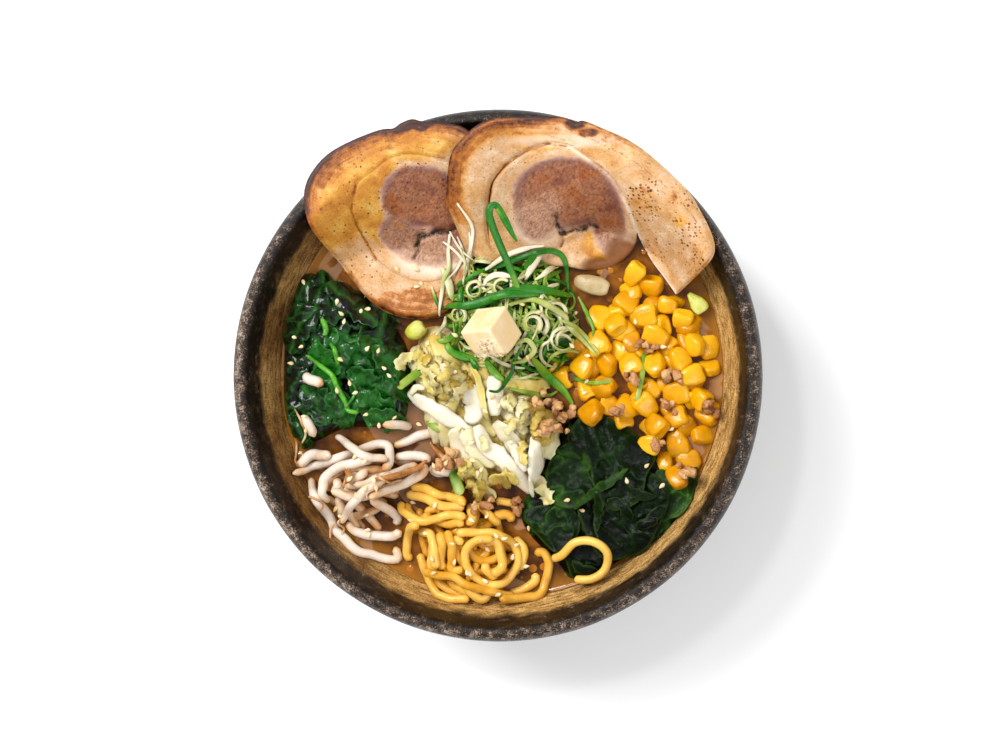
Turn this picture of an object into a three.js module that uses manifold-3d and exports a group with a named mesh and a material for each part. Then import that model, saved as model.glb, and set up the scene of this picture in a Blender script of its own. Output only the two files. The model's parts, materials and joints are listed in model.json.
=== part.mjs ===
// A bowl of ramen: a stoneware bowl filled with broth, and on the broth two slices of rolled pork,
// corn, wakame, noodles, bean sprouts, spinach, stir-fried cabbage, shredded scallion and butter.
// Millimetres, +Z up. The origin is at the centre of the foot ring, on the table.
import * as THREE from "three";
import { mergeVertices } from "three/addons/utils/BufferGeometryUtils.js";
import Module from "manifold-3d";

const wasm = await Module();
wasm.setup();

// ---------------------------------------------------------------- driving dimensions
const RIM_RADIUS = 106; // widest point of the bowl
const RIM_HEIGHT = 82; // crest of the lip
const LIP_RADIUS = 101.6; // where the crest runs
const WALL_TOP_RADIUS = 97; // inside wall, just under the lip
const WALL_TOP_HEIGHT = 70;
const FLOOR_HEIGHT = 13.5; // inside of the bowl, on the axis
const FOOT_RADIUS = 46;
const FOOT_HEIGHT = 9;
const BROTH_LEVEL = 58;
const GAP = 0.35; // air between neighbouring pieces
const BITE = 0.6; // how deep a piece sits in the heap that it is part of
const BOW = 1.3; // how far a strand bows up between its ends and its middle
const HEAP_EDGE = 1.6; // thickness of a heap's core at its outline
const AROUND = 40; // facets round the bowl

const PORK_THICKNESS = 6;
const NOODLE_RADIUS = 1.6;
const SPROUT_RADIUS = 2.1;
const KERNEL = { length: 9.4, width: 8, depth: 6.2 };
const SEED = { length: 3, width: 1.9, depth: 1.5 };
const BUTTER_EDGE = 15;

// ---------------------------------------------------------------- small helpers
const TURN = 2 * Math.PI;
const radians = (degrees) => (degrees * Math.PI) / 180;
const lerp = (a, b, t) => a + (b - a) * t;
const clamp = (t) => Math.min(1, Math.max(0, t));
const smooth = (t) => clamp(t) ** 2 * (3 - 2 * clamp(t));
const bump = (distance, width) => Math.exp(-((distance / width) ** 2));

/** A seeded random number generator, so that every build is the same. */
function randomFrom(seed) {
  let state = seed;
  return () => {
    state = (state + 0x6d2b79f5) | 0;
    let t = Math.imul(state ^ (state >>> 15), 1 | state);
    t = (t + Math.imul(t ^ (t >>> 7), 61 | t)) ^ t;
    return ((t ^ (t >>> 14)) >>> 0) / 2 ** 32;
  };
}

/** Uneven ground of about this wavelength, from -1 to 1. */
const ripple = (x, y, wave, phase) =>
  (Math.sin((TURN * x) / wave + phase) * Math.cos((TURN * y) / wave - 2 * phase) +
    Math.sin((TURN * (x + y)) / (1.7 * wave) + 3 * phase)) / 2;

// ---------------------------------------------------------------- solids
function solidOf(geometry) {
  const bare = geometry.clone();
  bare.deleteAttribute("normal");
  bare.deleteAttribute("uv");
  const merged = mergeVertices(bare, 1e-3);
  return new wasm.Manifold(
    new wasm.Mesh({
      numProp: 3,
      vertProperties: new Float32Array(merged.attributes.position.array),
      triVerts: new Uint32Array(merged.index.array),
    }),
  );
}

function geometryOf(solid) {
  const { vertProperties, triVerts } = solid.getMesh();
  const geometry = new THREE.BufferGeometry();
  geometry.setAttribute("position", new THREE.BufferAttribute(vertProperties, 3));
  geometry.setIndex(new THREE.BufferAttribute(triVerts, 1));
  geometry.computeVertexNormals();
  return geometry;
}

/** The outer skin of a solid's largest body, so that no loose scrap or sealed hollow is kept. The
 * mesh is read back first, because a hollow that touches the skin at a point parts from it then. */
const whole = (solid) =>
  solidOf(geometryOf(solid))
    .decompose()
    .reduce((best, body) => (body.volume() > best.volume() ? body : best));

const touches = (solid, others) =>
  others.some((other) => solid.intersect(other).volume() > 1e-4);

const carve = (core, others) => whole(others.reduce((left, other) => left.subtract(other), core));

/** The surface of revolution of a half profile of [radius, height] points. */
function turned(points) {
  const lathe = new THREE.LatheGeometry(points, AROUND);
  lathe.rotateX(Math.PI / 2);
  return solidOf(lathe);
}

/** A closed sheet between two grids of points, where grid[i][j] is a Vector3. */
function sheetOf(top, bottom) {
  const [rows, columns] = [top.length - 1, top[0].length - 1];
  const positions = [top, bottom].flat(2).flatMap((p) => p.toArray());
  const at = (side, i, j) => (side * (rows + 1) + i) * (columns + 1) + j;
  const index = [];
  const quad = (a, b, c, d) => index.push(a, b, c, a, c, d);
  for (let i = 0; i < rows; i++)
    for (let j = 0; j < columns; j++) {
      quad(at(0, i, j), at(0, i + 1, j), at(0, i + 1, j + 1), at(0, i, j + 1));
      index.push(at(1, i, j), at(1, i + 1, j + 1), at(1, i + 1, j));
      index.push(at(1, i, j), at(1, i, j + 1), at(1, i + 1, j + 1));
    }
  for (let i = 0; i < rows; i++) {
    quad(at(0, i + 1, 0), at(0, i, 0), at(1, i, 0), at(1, i + 1, 0));
    quad(at(0, i, columns), at(0, i + 1, columns), at(1, i + 1, columns), at(1, i, columns));
  }
  for (let j = 0; j < columns; j++) {
    quad(at(0, 0, j), at(0, 0, j + 1), at(1, 0, j + 1), at(1, 0, j));
    quad(at(0, rows, j + 1), at(0, rows, j), at(1, rows, j), at(1, rows, j + 1));
  }
  const geometry = new THREE.BufferGeometry();
  geometry.setAttribute("position", new THREE.Float32BufferAttribute(positions, 3));
  geometry.setIndex(index);
  return solidOf(geometry);
}

/** A closed solid from stacked closed loops of points, with a point at each end. */
function loopsOf(firstPoint, loops, lastPoint) {
  const count = loops[0].length;
  const positions = [firstPoint, ...loops.flat(), lastPoint].flat();
  const index = [];
  const at = (loop, s) => 1 + loop * count + (s % count);
  for (let s = 0; s < count; s++) {
    index.push(0, at(0, s), at(0, s + 1));
    index.push(positions.length / 3 - 1, at(loops.length - 1, s + 1), at(loops.length - 1, s));
    for (let loop = 0; loop + 1 < loops.length; loop++) {
      index.push(at(loop, s), at(loop + 1, s), at(loop + 1, s + 1));
      index.push(at(loop, s), at(loop + 1, s + 1), at(loop, s + 1));
    }
  }
  const geometry = new THREE.BufferGeometry();
  geometry.setAttribute("position", new THREE.Float32BufferAttribute(positions, 3));
  geometry.setIndex(index);
  return solidOf(geometry);
}

/** A layer with a free outline round a centre: a slice of meat, or the core of a heap.
 * top and bottom give heights from x, y and f, which runs from 0 at the centre to 1 at the outline.
 * topRings and bottomRings list the f of each loop of facets. */
function layerOf({ centre: [cx, cy], outline, sectors, topRings, bottomRings, top, bottom }) {
  const curve = new THREE.CatmullRomCurve3(
    outline.map(([x, y]) => new THREE.Vector3(x - cx, y - cy, 0)),
    true,
  );
  const polar = curve
    .getPoints(outline.length * 8)
    .map((p) => [Math.atan2(p.y, p.x), Math.hypot(p.x, p.y)])
    .sort((a, b) => a[0] - b[0]);
  const radiusAt = (angle) => {
    const wrapped = Math.atan2(Math.sin(angle), Math.cos(angle));
    const next = polar.findIndex(([a]) => a > wrapped);
    const [a1, r1] = polar[Math.max(next, 0)];
    const [a0, r0] = polar.at(next - 1);
    const span = (a1 - a0 + TURN) % TURN || TURN;
    return lerp(r0, r1, ((wrapped - a0 + TURN) % TURN) / span);
  };
  const solid = (grow = 0) => {
    const loop = (f, height) =>
      Array.from({ length: sectors }, (_, s) => {
        const angle = (TURN * s) / sectors;
        const r = f * (radiusAt(angle) + grow);
        const [x, y] = [cx + r * Math.cos(angle), cy + r * Math.sin(angle)];
        return [x, y, height(x, y, f)];
      });
    const above = (x, y, f) => top(x, y, f) + grow;
    const below = (x, y, f) => bottom(x, y, f) - grow;
    return loopsOf(
      [cx, cy, above(cx, cy, 0)],
      [...topRings.map((f) => loop(f, above)), ...bottomRings.map((f) => loop(f, below))],
      [cx, cy, below(cx, cy, 0)],
    );
  };
  const covers = (x, y, margin = 0) =>
    Math.hypot(x - cx, y - cy) < radiusAt(Math.atan2(y - cy, x - cx)) - margin;
  return { centre: [cx, cy], solid, covers };
}

/** The core of a heap: a low dome with a flat underside just above the broth. */
function heapOf({ centre, outline, height, roughness = 0.5, wave = 16 }) {
  return layerOf({
    centre,
    outline,
    sectors: 14,
    topRings: height > 10 ? [0.6, 0.88, 1] : [0.78, 1],
    bottomRings: [1],
    top: (x, y, f) =>
      BROTH_LEVEL + GAP + HEAP_EDGE + (height - HEAP_EDGE) * Math.sqrt(1 - Math.min(f, 1) ** 2.5) +
      roughness * ripple(x, y, wave, 1) * (1 - f ** 4),
    bottom: () => BROTH_LEVEL + GAP,
  });
}

// ---------------------------------------------------------------- bowl and broth
const v2 = (x, y) => new THREE.Vector2(x, y);
const insideWall = new THREE.CubicBezierCurve(
  v2(0, FLOOR_HEIGHT),
  v2(52, FLOOR_HEIGHT),
  v2(84, 42),
  v2(WALL_TOP_RADIUS, WALL_TOP_HEIGHT),
);
const WALL_STEPS = 5;
const wallFacets = insideWall.getPoints(WALL_STEPS);

function bowlSolid() {
  const crest = v2(LIP_RADIUS, RIM_HEIGHT);
  const lipInside = new THREE.CubicBezierCurve(
    insideWall.v3, v2(98.4, 74), v2(98.6, RIM_HEIGHT), crest);
  const lipOutside = new THREE.CubicBezierCurve(
    crest, v2(104.6, RIM_HEIGHT), v2(RIM_RADIUS, 79), v2(RIM_RADIUS, 75));
  const outsideWall = new THREE.CubicBezierCurve(
    lipOutside.v3, v2(103, 58), v2(80, 24), v2(FOOT_RADIUS + 1, FOOT_HEIGHT));
  const profile = [
    ...wallFacets,
    ...lipInside.getPoints(2).slice(1),
    ...lipOutside.getPoints(3).slice(1),
    ...outsideWall.getPoints(4).slice(1),
    v2(FOOT_RADIUS - 1, 0),
    v2(FOOT_RADIUS - 6, 0),
    v2(FOOT_RADIUS - 8.5, 5),
    v2(0, 6),
  ];
  return turned(profile.reverse());
}

/** Height of the inside wall's facets at a distance from the bowl's axis. */
function wallHeight(radius) {
  const outward = radius / Math.cos(Math.PI / AROUND);
  const next = wallFacets.findIndex((p) => p.x > outward);
  if (next < 0) return RIM_HEIGHT;
  const [a, b] = [wallFacets[next - 1], wallFacets[next]];
  return lerp(a.y, b.y, (outward - a.x) / (b.x - a.x));
}

/** The broth: the wall's own facets with air between, up to the level. */
function brothSolid() {
  const skin = wallFacets.map((p, i) => {
    const along = insideWall.getTangent(i / WALL_STEPS);
    return v2(Math.max(0, p.x - GAP * along.y), p.y + GAP * along.x);
  });
  const next = skin.findIndex((p) => p.y > BROTH_LEVEL);
  const [wet, dry] = [skin[next - 1], skin[next]];
  const edge = wet.clone().lerp(dry, (BROTH_LEVEL - wet.y) / (dry.y - wet.y));
  return turned([...skin.slice(0, next), edge, v2(0, BROTH_LEVEL)]);
}

// ---------------------------------------------------------------- rolled pork
/** Height of a slice's underside: on the broth inside, up over the wall, and on the lip. */
function porkUnderside(x, y) {
  const radius = Math.hypot(x, y);
  const fromBack = Math.abs((Math.atan2(y, x) * 180) / Math.PI - 90);
  const shore = lerp(45, 79, smooth((fromBack - 10) / 50));
  const climb = clamp((radius - shore) / (WALL_TOP_RADIUS - 2 - shore));
  return lerp(BROTH_LEVEL + GAP, RIM_HEIGHT + 2 * GAP, lerp(climb, smooth(climb), 0.5));
}

/** One slice: a fat layer rolled round a lean heart, with a groove between the two. */
function porkSlice({ centre, outline, groove, lift = () => 0, sink = () => 0 }) {
  const under = (x, y) =>
    Math.max(porkUnderside(x, y) + lift(x, y) - sink(x, y), BROTH_LEVEL + GAP);
  const relief = (x, y, f) =>
    0.5 * ripple(x, y, 21, 2) - 1.1 * bump(f - groove, 0.05) - 0.9 * bump(f, 0.15) -
    1.5 * smooth((f - 0.9) / 0.1);
  return layerOf({
    centre,
    outline,
    sectors: 30,
    topRings: [0.35, groove - 0.1, groove, groove + 0.1, 0.93, 1],
    bottomRings: [1, 0.9, 0.7, 0.4],
    top: (x, y, f) => under(x, y) + PORK_THICKNESS + relief(x, y, f) - 0.35 * sink(x, y),
    bottom: under,
  });
}

const porkLeft = porkSlice({
  centre: [-37, 64],
  groove: 0.66,
  outline: [[-79, 68], [-74, 81], [-62, 91], [-46, 97.5], [-33, 101.5], [-20, 99.5], [-9, 92], [-9, 66],
    [-12, 38], [-20, 26], [-33, 22], [-47, 25.5], [-62, 38], [-73, 54]],
});

// Where the right slice lies over the left one, it is lifted by a thickness and fades down beside it.
const porkRight = porkSlice({
  centre: [30, 74],
  groove: 0.62,
  outline: [[-18.5, 72], [-15, 87], [-5, 97], [14, 101.5], [30, 100.5], [44, 96.5], [63, 85], [77, 70],
    [86, 54], [85, 43], [79, 37], [73, 34], [54, 49], [46, 45], [28, 42.5], [5, 43], [-11, 47], [-16, 60]],
  lift: (x) => (PORK_THICKNESS + 2) * (1 - smooth((x + 7) / 22)),
  sink: (x, y) => 11 * bump(Math.hypot(x - 44, y - 44), 15),
});

// ---------------------------------------------------------------- pieces laid on a heap
// A piece is a function of rest(x, y, half), which gives the height of the middle of something of
// that half thickness where it lies. It returns a function of how much air is grown round the piece
// and how far the piece is lifted, which returns the solid.

/** A strand of round section, or of flat section where a width is given, through plan points
 * [x, y, lift]. It lies on what is under it at its ends and middle, and bows up between. */
const strand = ({ points, radius, width, step = 5.5 }) => (rest) => {
  const plan = new THREE.CatmullRomCurve3(points.map(([x, y, z = 0]) => new THREE.Vector3(x, y, z)));
  const samples = plan.getSpacedPoints(Math.ceil(plan.getLength() / 2.5));
  const rested = samples.map((p) => rest(p.x, p.y, radius));
  const path = (lift) =>
    new THREE.CatmullRomCurve3(
      samples.map((p, i) => {
        const near = rested.slice(Math.max(0, i - 2), i + 3);
        const mean = near.reduce((sum, z) => sum + z, 0) / near.length;
        const bow = BOW * Math.sin((TURN * i) / (samples.length - 1)) ** 2;
        return new THREE.Vector3(p.x, p.y, Math.max(rested[i], mean) + bow + p.z + lift);
      }),
    );
  return (grow, lift) => {
    const [half, side] = [radius + grow, (width ?? 2 * radius) / 2 + grow];
    const corners = width ? [0.25, 0.75, 1.25, 1.75] : [0.2, 0.6, 1, 1.4, 1.8];
    const reach = width ? Math.SQRT2 : 1;
    const section = new THREE.Shape(
      corners.map((a) => v2(reach * half * Math.cos(a * Math.PI), reach * side * Math.sin(a * Math.PI))),
    );
    const steps = Math.max(3, Math.round(plan.getLength() / step));
    const options = { steps, bevelEnabled: false, extrudePath: path(lift) };
    return solidOf(new THREE.ExtrudeGeometry(section, options));
  };
};

const strands = (routes, shape) => routes.map((points) => strand({ points, ...shape }));

/** A thin wavy leaf, pointed at both ends. heading is its lengthwise direction, in degrees. */
const leaf = ({ at, length, width, heading, wave, folds = 2, thickness = 1.2, grid = [3, 2] }) =>
  (rest) => {
    const [cosine, sine] = [Math.cos(radians(heading)), Math.sin(radians(heading))];
    const middle = Array.from({ length: grid[0] + 1 }, (_, i) =>
      Array.from({ length: grid[1] + 1 }, (__, j) => {
        const [u, v] = [i / grid[0], j / grid[1]];
        const along = (u - 0.5) * length;
        const across = (v - 0.5) * width * (0.35 + 0.65 * Math.sin(Math.PI * lerp(0.12, 0.88, u)));
        const [x, y] = [at[0] + along * cosine - across * sine, at[1] + along * sine + across * cosine];
        const fold = 1 + Math.sin(folds * Math.PI * v + 2.2 * u + heading);
        const height = rest(x, y, thickness / 2) + wave * fold * Math.sin(Math.PI * u);
        return new THREE.Vector3(x, y, height);
      }),
    );
    return (grow, up) => {
      const face = (side) =>
        middle.map((row) => row.map((p) => p.clone().setZ(p.z + up + side * (thickness / 2 + grow))));
      return sheetOf(face(1), face(-1));
    };
  };

/** A rounded lump: a stretched sphere of few facets, turned by heading and tilted, in degrees.
 * square pushes its corners out, and sink sets it into what it lies on. */
const lump = ({ at: [x, y], size, heading = 0, tilt = 0, sides = 6, rows = 3, square = 0, sink = 0 }) =>
  (rest) => {
    const z = rest(x, y, size[2] / 2) - sink;
    return (grow, lift) => {
      const ball = new THREE.SphereGeometry(1, sides, rows);
      const position = ball.attributes.position;
      const p = new THREE.Vector3();
      for (let i = 0; i < position.count; i++) {
        p.fromBufferAttribute(position, i);
        const push = 1 + square * (Math.max(Math.abs(p.x), Math.abs(p.y), Math.abs(p.z)) - 0.8);
        const taper = 1 - 0.22 * p.x;
        position.setXYZ(i, p.x / push, (p.y * taper) / push, (p.z * taper) / push);
      }
      ball.scale(...size.map((s) => s / 2 + grow));
      ball.rotateY(radians(tilt));
      ball.rotateZ(radians(heading));
      ball.translate(x, y, z + lift);
      return solidOf(ball);
    };
  };

/** Sesame seeds at the given places. */
const seeds = (places) =>
  places.map(([x, y], i) =>
    lump({
      at: [x, y],
      size: [SEED.length, SEED.width, SEED.depth],
      heading: 77 * i,
      sides: 4,
    }),
  );

/** Places on a spiral round a centre, evenly spread over a disc. */
const spiral = ([cx, cy], count, spreadX, spreadY = spreadX) =>
  Array.from({ length: count }, (_, i) => {
    const [angle, reach] = [radians(137.5 * i + 40), Math.sqrt((i + 0.5) / count)];
    return [cx + spreadX * reach * Math.cos(angle), cy + spreadY * reach * Math.sin(angle)];
  });

// ---------------------------------------------------------------- cores of the heaps
const heaps = {
  scallion: heapOf({
    centre: [6, 26],
    height: 22,
    roughness: 1.2,
    outline: [[-21, 33], [-15, 45], [0, 48], [16, 49], [25, 43], [27, 33], [31, 24], [36, 16], [32, 9],
      [22, 3], [8, -2], [-8, 5], [-20, 14], [-24, 24]],
  }),
  cabbage: heapOf({
    centre: [-4, -13],
    height: 14,
    roughness: 1.2,
    outline: [[-34, 14], [-28, 20], [-14, 18], [8, 13], [16, 2], [17, -12], [19, -27], [17, -42], [10, -47],
      [1, -41], [-9, -44], [-15, -38], [-22, -25], [-31, -15], [-35, -4]],
  }),
  corn: heapOf({
    centre: [60, 0],
    height: 4,
    outline: [[25, 2], [31, 16], [42, 25], [51, 32], [63, 33], [74, 25], [82, 15], [86, 3], [86, -9],
      [82, -22], [76, -34], [67, -33], [58, -22], [50, -15], [38, -14], [29, -8]],
  }),
  wakame: heapOf({
    centre: [46, -50],
    height: 6,
    roughness: 1,
    outline: [[31, -20], [44, -22], [57, -31], [66, -40], [73, -41], [72, -50], [64, -60], [55, -66],
      [43, -73], [31, -76], [24, -70], [20, -60], [20, -46], [26, -32]],
  }),
  spinach: heapOf({
    centre: [-62, 2],
    height: 8,
    roughness: 1.6,
    wave: 20,
    outline: [[-73, 34], [-66, 29], [-54, 21], [-46, 16], [-42, 8], [-42, -6], [-43, -16], [-48, -21],
      [-58, -20], [-70, -22], [-79, -25], [-84, -16], [-85, 2], [-83, 16], [-79, 27]],
  }),
  noodles: heapOf({
    centre: [-9, -72],
    height: 3.6,
    outline: [[-33, -53], [-24, -54], [-12, -57], [2, -60], [10, -67], [13, -77], [9, -83], [0, -85],
      [-12, -85], [-23, -82], [-29, -74], [-32, -64]],
  }),
  sprouts: heapOf({
    centre: [-56, -44],
    height: 3,
    outline: [[-75, -37], [-64, -31], [-50, -31], [-38, -33], [-33, -38], [-38, -45], [-42, -53],
      [-46, -63], [-53, -65], [-61, -61], [-69, -53], [-75, -44]],
  }),
};

// ---------------------------------------------------------------- what shows on each heap
/** Kernels on a jittered grid, each of its own size and turned its own way. */
function cornKernels() {
  const random = randomFrom(11);
  const pitch = 9.1;
  const kernels = [];
  for (let row = -6; row <= 6; row++)
    for (let column = -6; column <= 6; column++) {
      const x = 60 + pitch * (column + (row % 2) / 2) + 2 * (random() - 0.5);
      const y = 0.9 * pitch * row + 2 * (random() - 0.5);
      const size = [KERNEL.length, KERNEL.width, KERNEL.depth].map((s) => s * lerp(0.84, 1.06, random()));
      const [heading, tilt] = [360 * random(), 50 * (random() - 0.5)];
      if (heaps.corn.covers(x, y))
        kernels.push(lump({ at: [x, y], size, heading, tilt, square: 0.5, sink: 1.6 * random() + 0.6 }));
    }
  return kernels;
}

function noodleStrands() {
  const combed = [0, 1, 2, 3].map((i) => [
    [-31 + 4 * i, -60 - i], [-27 + 3.8 * i, -70], [-25 + 4 * i, -80], [-21 + 4 * i, -88 + i],
    [-13 + 4 * i, -91 + 2 * i],
  ]);
  const swirl = [0, 1, 2].map((i) =>
    [0, 1, 2, 3, 4].map((k) => {
      const angle = radians(110 + 40 * i - 66 * k);
      return [-4 + (7 + 2 * i) * Math.cos(angle), -75 + (7.5 + 1.8 * i) * Math.sin(angle)];
    }),
  );
  const across = [
    [[-38, -47], [-27, -48], [-18, -53], [-8, -59]],
    [[-39, -52], [-35, -58], [-26, -60], [-14, -58]],
    [[-29, -79], [-17, -81], [-5, -85], [6, -89]],
    [[-17, -62], [-6, -60], [5, -62], [11, -68]],
    [[-36, -75], [-37, -67], [-31, -60]],
  ];
  const rimHook = [[12, -71], [18, -78], [18, -86], [14, -91], [5, -91]];
  const hairpin = [[-31, -71], [-28, -80], [-25, -86], [-18, -89], [-11, -86]];
  return strands([...combed, ...across.slice(0, 2), hairpin, ...swirl, ...across.slice(2), rimHook], {
    radius: NOODLE_RADIUS,
    step: 7.5,
  });
}

function beanSprouts() {
  return strands(
    [
      [[-83, -36], [-74, -35], [-62, -32], [-50, -29], [-45, -33]],
      [[-81, -35], [-72, -50], [-63, -61], [-52, -69], [-44, -72], [-42, -63]],
      [[-65, -26], [-59, -29], [-50, -32], [-44, -37]],
      [[-70, -50], [-69, -42], [-60, -37], [-48, -33]],
      [[-63, -55], [-55, -61], [-47, -65], [-39, -65]],
      [[-64, -46], [-56, -43], [-50, -40], [-43, -36]],
      [[-54, -51], [-42, -46], [-35, -42], [-30, -38]],
      [[-65, -59], [-57, -51], [-45, -43], [-31, -36]],
      [[-51, -49], [-45, -53], [-41, -59]],
      [[-45, -31], [-37, -28], [-29, -30]],
    ],
    { radius: SPROUT_RADIUS, step: 7.5 },
  );
}

function spinachPieces() {
  const random = randomFrom(23);
  const leaves = [0, 1, 2, 3, 4, 5].map((i) =>
    leaf({
      at: [lerp(-72, -68, random()) + 16 * (i % 2) + 0.5 * i, 18 - 6.5 * i + 3.5 * (i % 2)],
      length: 27 + 4 * random(),
      width: 20,
      heading: -65 + 50 * random(),
      wave: 1.6,
    }),
  );
  const stems = [
    [[-72, 1], [-64, -6], [-59, -16]],
    [[-71, 22], [-69, 14], [-66, 6]],
  ];
  return [...leaves, ...strands(stems, { radius: 1.3 }), ...seeds(spiral([-58, 2], 6, 17, 20))];
}

const wakameSheets = () =>
  [
    { at: [64, -52], length: 24, width: 12, heading: 50, wave: 0.6 },
    { at: [44, -69], length: 24, width: 12, heading: 20, wave: 0.6 },
    { at: [28, -47], length: 34, width: 17, heading: 85, wave: 1 },
    { at: [31, -66], length: 24, width: 16, heading: -30, wave: 0.8 },
    { at: [52, -58], length: 30, width: 20, heading: 35, wave: 1.6 },
    { at: [46, -36], length: 36, width: 24, heading: -35, wave: 1.6 },
  ].map((sheet) => leaf({ folds: 2.5, thickness: 1.1, grid: [3, 3], ...sheet }));

function cabbagePieces() {
  const random = randomFrom(31);
  const scraps = spiral([-5, -14], 9, 17, 29).map((at) =>
    leaf({
      at,
      length: 13 + 4 * random(),
      width: 10,
      heading: 360 * random(),
      wave: 1.3,
      thickness: 1.6,
    }),
  );
  const stalks = [
    [[-36, -11], [-24, -19], [-10, -27]],
    [[-13, -8], [-9, -17], [-6, -28]],
    [[0, -4], [2, -14], [1, -26]],
    [[15, -31], [14, -40], [11, -47]],
    [[-4, -30], [3, -38], [9, -46]],
  ];
  return [
    ...scraps,
    ...strands(stalks, { radius: 1.2, width: 7, step: 8 }),
    ...seeds(spiral([2, -12], 4, 12, 22)),
  ];
}

function scallionShreds() {
  const curls = [[15, 21, 4.5], [24, 18, 4], [-15, 20, 4]].map(([x, y, r], i) =>
    [0, 1, 2, 3, 4].map((k) => [x + r * Math.cos(1.2 * k + i), y + r * Math.sin(1.2 * k + i)]),
  );
  const loose = [
    [[-25, 35], [-22, 30], [-16, 27], [-7, 28]],
    [[-13, 66], [-9, 57], [-10, 47], [-6, 36]],
    [[-17, 56], [-18, 46], [-14, 36], [-8, 30]],
    [[-22, 57], [-17, 50], [-9, 43], [-3, 38]],
    [[-7, 34], [0, 38], [8, 39], [13, 36]],
    [[12, 38], [16, 44], [20, 49]],
    [[17, 37], [22, 42], [26, 46]],
    [[11, 30], [20, 30], [27, 25], [32, 18]],
    [[-6, 31], [4, 32], [12, 33], [22, 34], [30, 32]],
    [[28, 26], [34, 25], [39, 18], [40, 13]],
    [[16, 8], [22, 0], [28, -8], [31, -12]],
    [[-19, 27], [-11, 36, 1], [0, 43, 2], [13, 48, 3], [22, 49, 3], [28, 44, 2], [29, 35]],
    [[9, 51, 3], [3, 61, 5], [0, 63, 5], [1, 54, 3], [6, 44, 1], [11, 33]],
  ];
  return strands([...curls, ...loose], { radius: 0.5, width: 2.4, step: 8 });
}

// ---------------------------------------------------------------- butter
const butterTurn = new THREE.Matrix4().makeBasis(
  new THREE.Vector3(0.835, 0.06, 0.547),
  new THREE.Vector3(0.375, 0.665, -0.646),
  new THREE.Vector3(-0.402, 0.745, 0.532),
);
const BUTTER_CENTRE = [-0.3, 16.6, 85];

/** A cube cut from a block of butter, lying on one corner, with a crumbled lower edge. */
function butterSolid(grow = 0) {
  const cube = new THREE.BoxGeometry(...Array(3).fill(BUTTER_EDGE + 2 * grow));
  cube.applyMatrix4(butterTurn);
  cube.translate(...BUTTER_CENTRE);
  if (grow) return solidOf(cube);
  const [x, y, z] = BUTTER_CENTRE;
  const crumbled = [0, 1, 2, 3, 4, 5].map((i) => {
    const bite = lump({ at: [x - 4 + 2.4 * i, y - 10.4 + (i % 3) / 3], size: [3.2, 3.4 + (i % 2), 4] });
    return bite(() => z - 2.5)(0, 0);
  });
  return carve(solidOf(cube), crumbled);
}

// ---------------------------------------------------------------- assembly
const looks = {
  stoneware: { color: 0x4a3b31, roughness: 0.55 },
  broth: { color: 0x8a4a14, roughness: 0.15 },
  pork: { color: 0xd39f69, roughness: 0.45 },
  corn: { color: 0xf0b50c, roughness: 0.3 },
  wakame: { color: 0x12300f, roughness: 0.2 },
  noodle: { color: 0xdba33a, roughness: 0.4 },
  sprout: { color: 0xe4cbae, roughness: 0.3 },
  spinach: { color: 0x1d580c, roughness: 0.35 },
  cabbage: { color: 0xeed9a4, roughness: 0.4 },
  scallion: { color: 0x3f8a22, roughness: 0.35 },
  leek: { color: 0xc9b383, roughness: 0.35 },
  butter: { color: 0xf7dca6, roughness: 0.4 },
};

const bowlOfRamen = new THREE.Group();
const placed = [];

const meshOf = (solid, look = "broth") =>
  new THREE.Mesh(geometryOf(solid), new THREE.MeshStandardMaterial({ ...looks[look], flatShading: true }));

function place(name, look, solid) {
  const mesh = meshOf(solid, look);
  mesh.name = name;
  bowlOfRamen.add(mesh);
  placed.push({ name, solid, mesh });
}

/** Height of the highest surface at a place. */
function surfaceHeight(x, y, meshes) {
  const ray = new THREE.Raycaster(new THREE.Vector3(x, y, 2 * RIM_HEIGHT), new THREE.Vector3(0, 0, -1));
  return Math.max(0, ...ray.intersectObjects(meshes).map((hit) => hit.point.z));
}

/** The rest function of a heap among its neighbours. Nothing is laid on the butter. */
function restOn(heap, neighbours) {
  const own = heap ? [meshOf(heap)] : [];
  const others = neighbours
    .filter(({ name }) => !["bowl", "butter_cube"].includes(name))
    .map(({ mesh }) => mesh);
  return (x, y, half) =>
    half +
    Math.max(
      surfaceHeight(x, y, own) - BITE,
      surfaceHeight(x, y, others) + 1.5 * GAP,
      wallHeight(Math.hypot(x, y) + half + 2 * GAP) + GAP,
    );
}

const LIFTS = [0, -0.4, -0.8, -1.6, 0.8, 1.6, 2.1, 2.6, 4];

/** The first lift that keeps a laid piece clear of its neighbours, and joins it to its heap. */
function fittingLift(laid, neighbours, heap) {
  const solids = neighbours.map(({ solid }) => solid);
  return LIFTS.find((mm) => !touches(laid(GAP, mm), solids) && (!heap || touches(laid(0, mm), [heap])));
}

/** Lays pieces on a core one after another, and leaves out a piece that fits nowhere. */
function fuse(core, pieces, neighbours) {
  let heap = core;
  for (const piece of pieces) {
    const laid = piece(restOn(heap, neighbours));
    const lift = fittingLift(laid, neighbours, heap);
    if (lift !== undefined) heap = heap.add(laid(0, lift));
  }
  return whole(heap);
}

place("bowl", "stoneware", bowlSolid());
place("broth", "broth", brothSolid());
place("butter_cube", "butter", butterSolid());
const seedsOnPork = seeds([[-38, 42], [-30, 42], [-32, 35], [-27, 37]]);
place("pork_slice_left", "pork", fuse(porkLeft.solid(), seedsOnPork, placed));
place("pork_slice_right", "pork", porkRight.solid());

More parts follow.
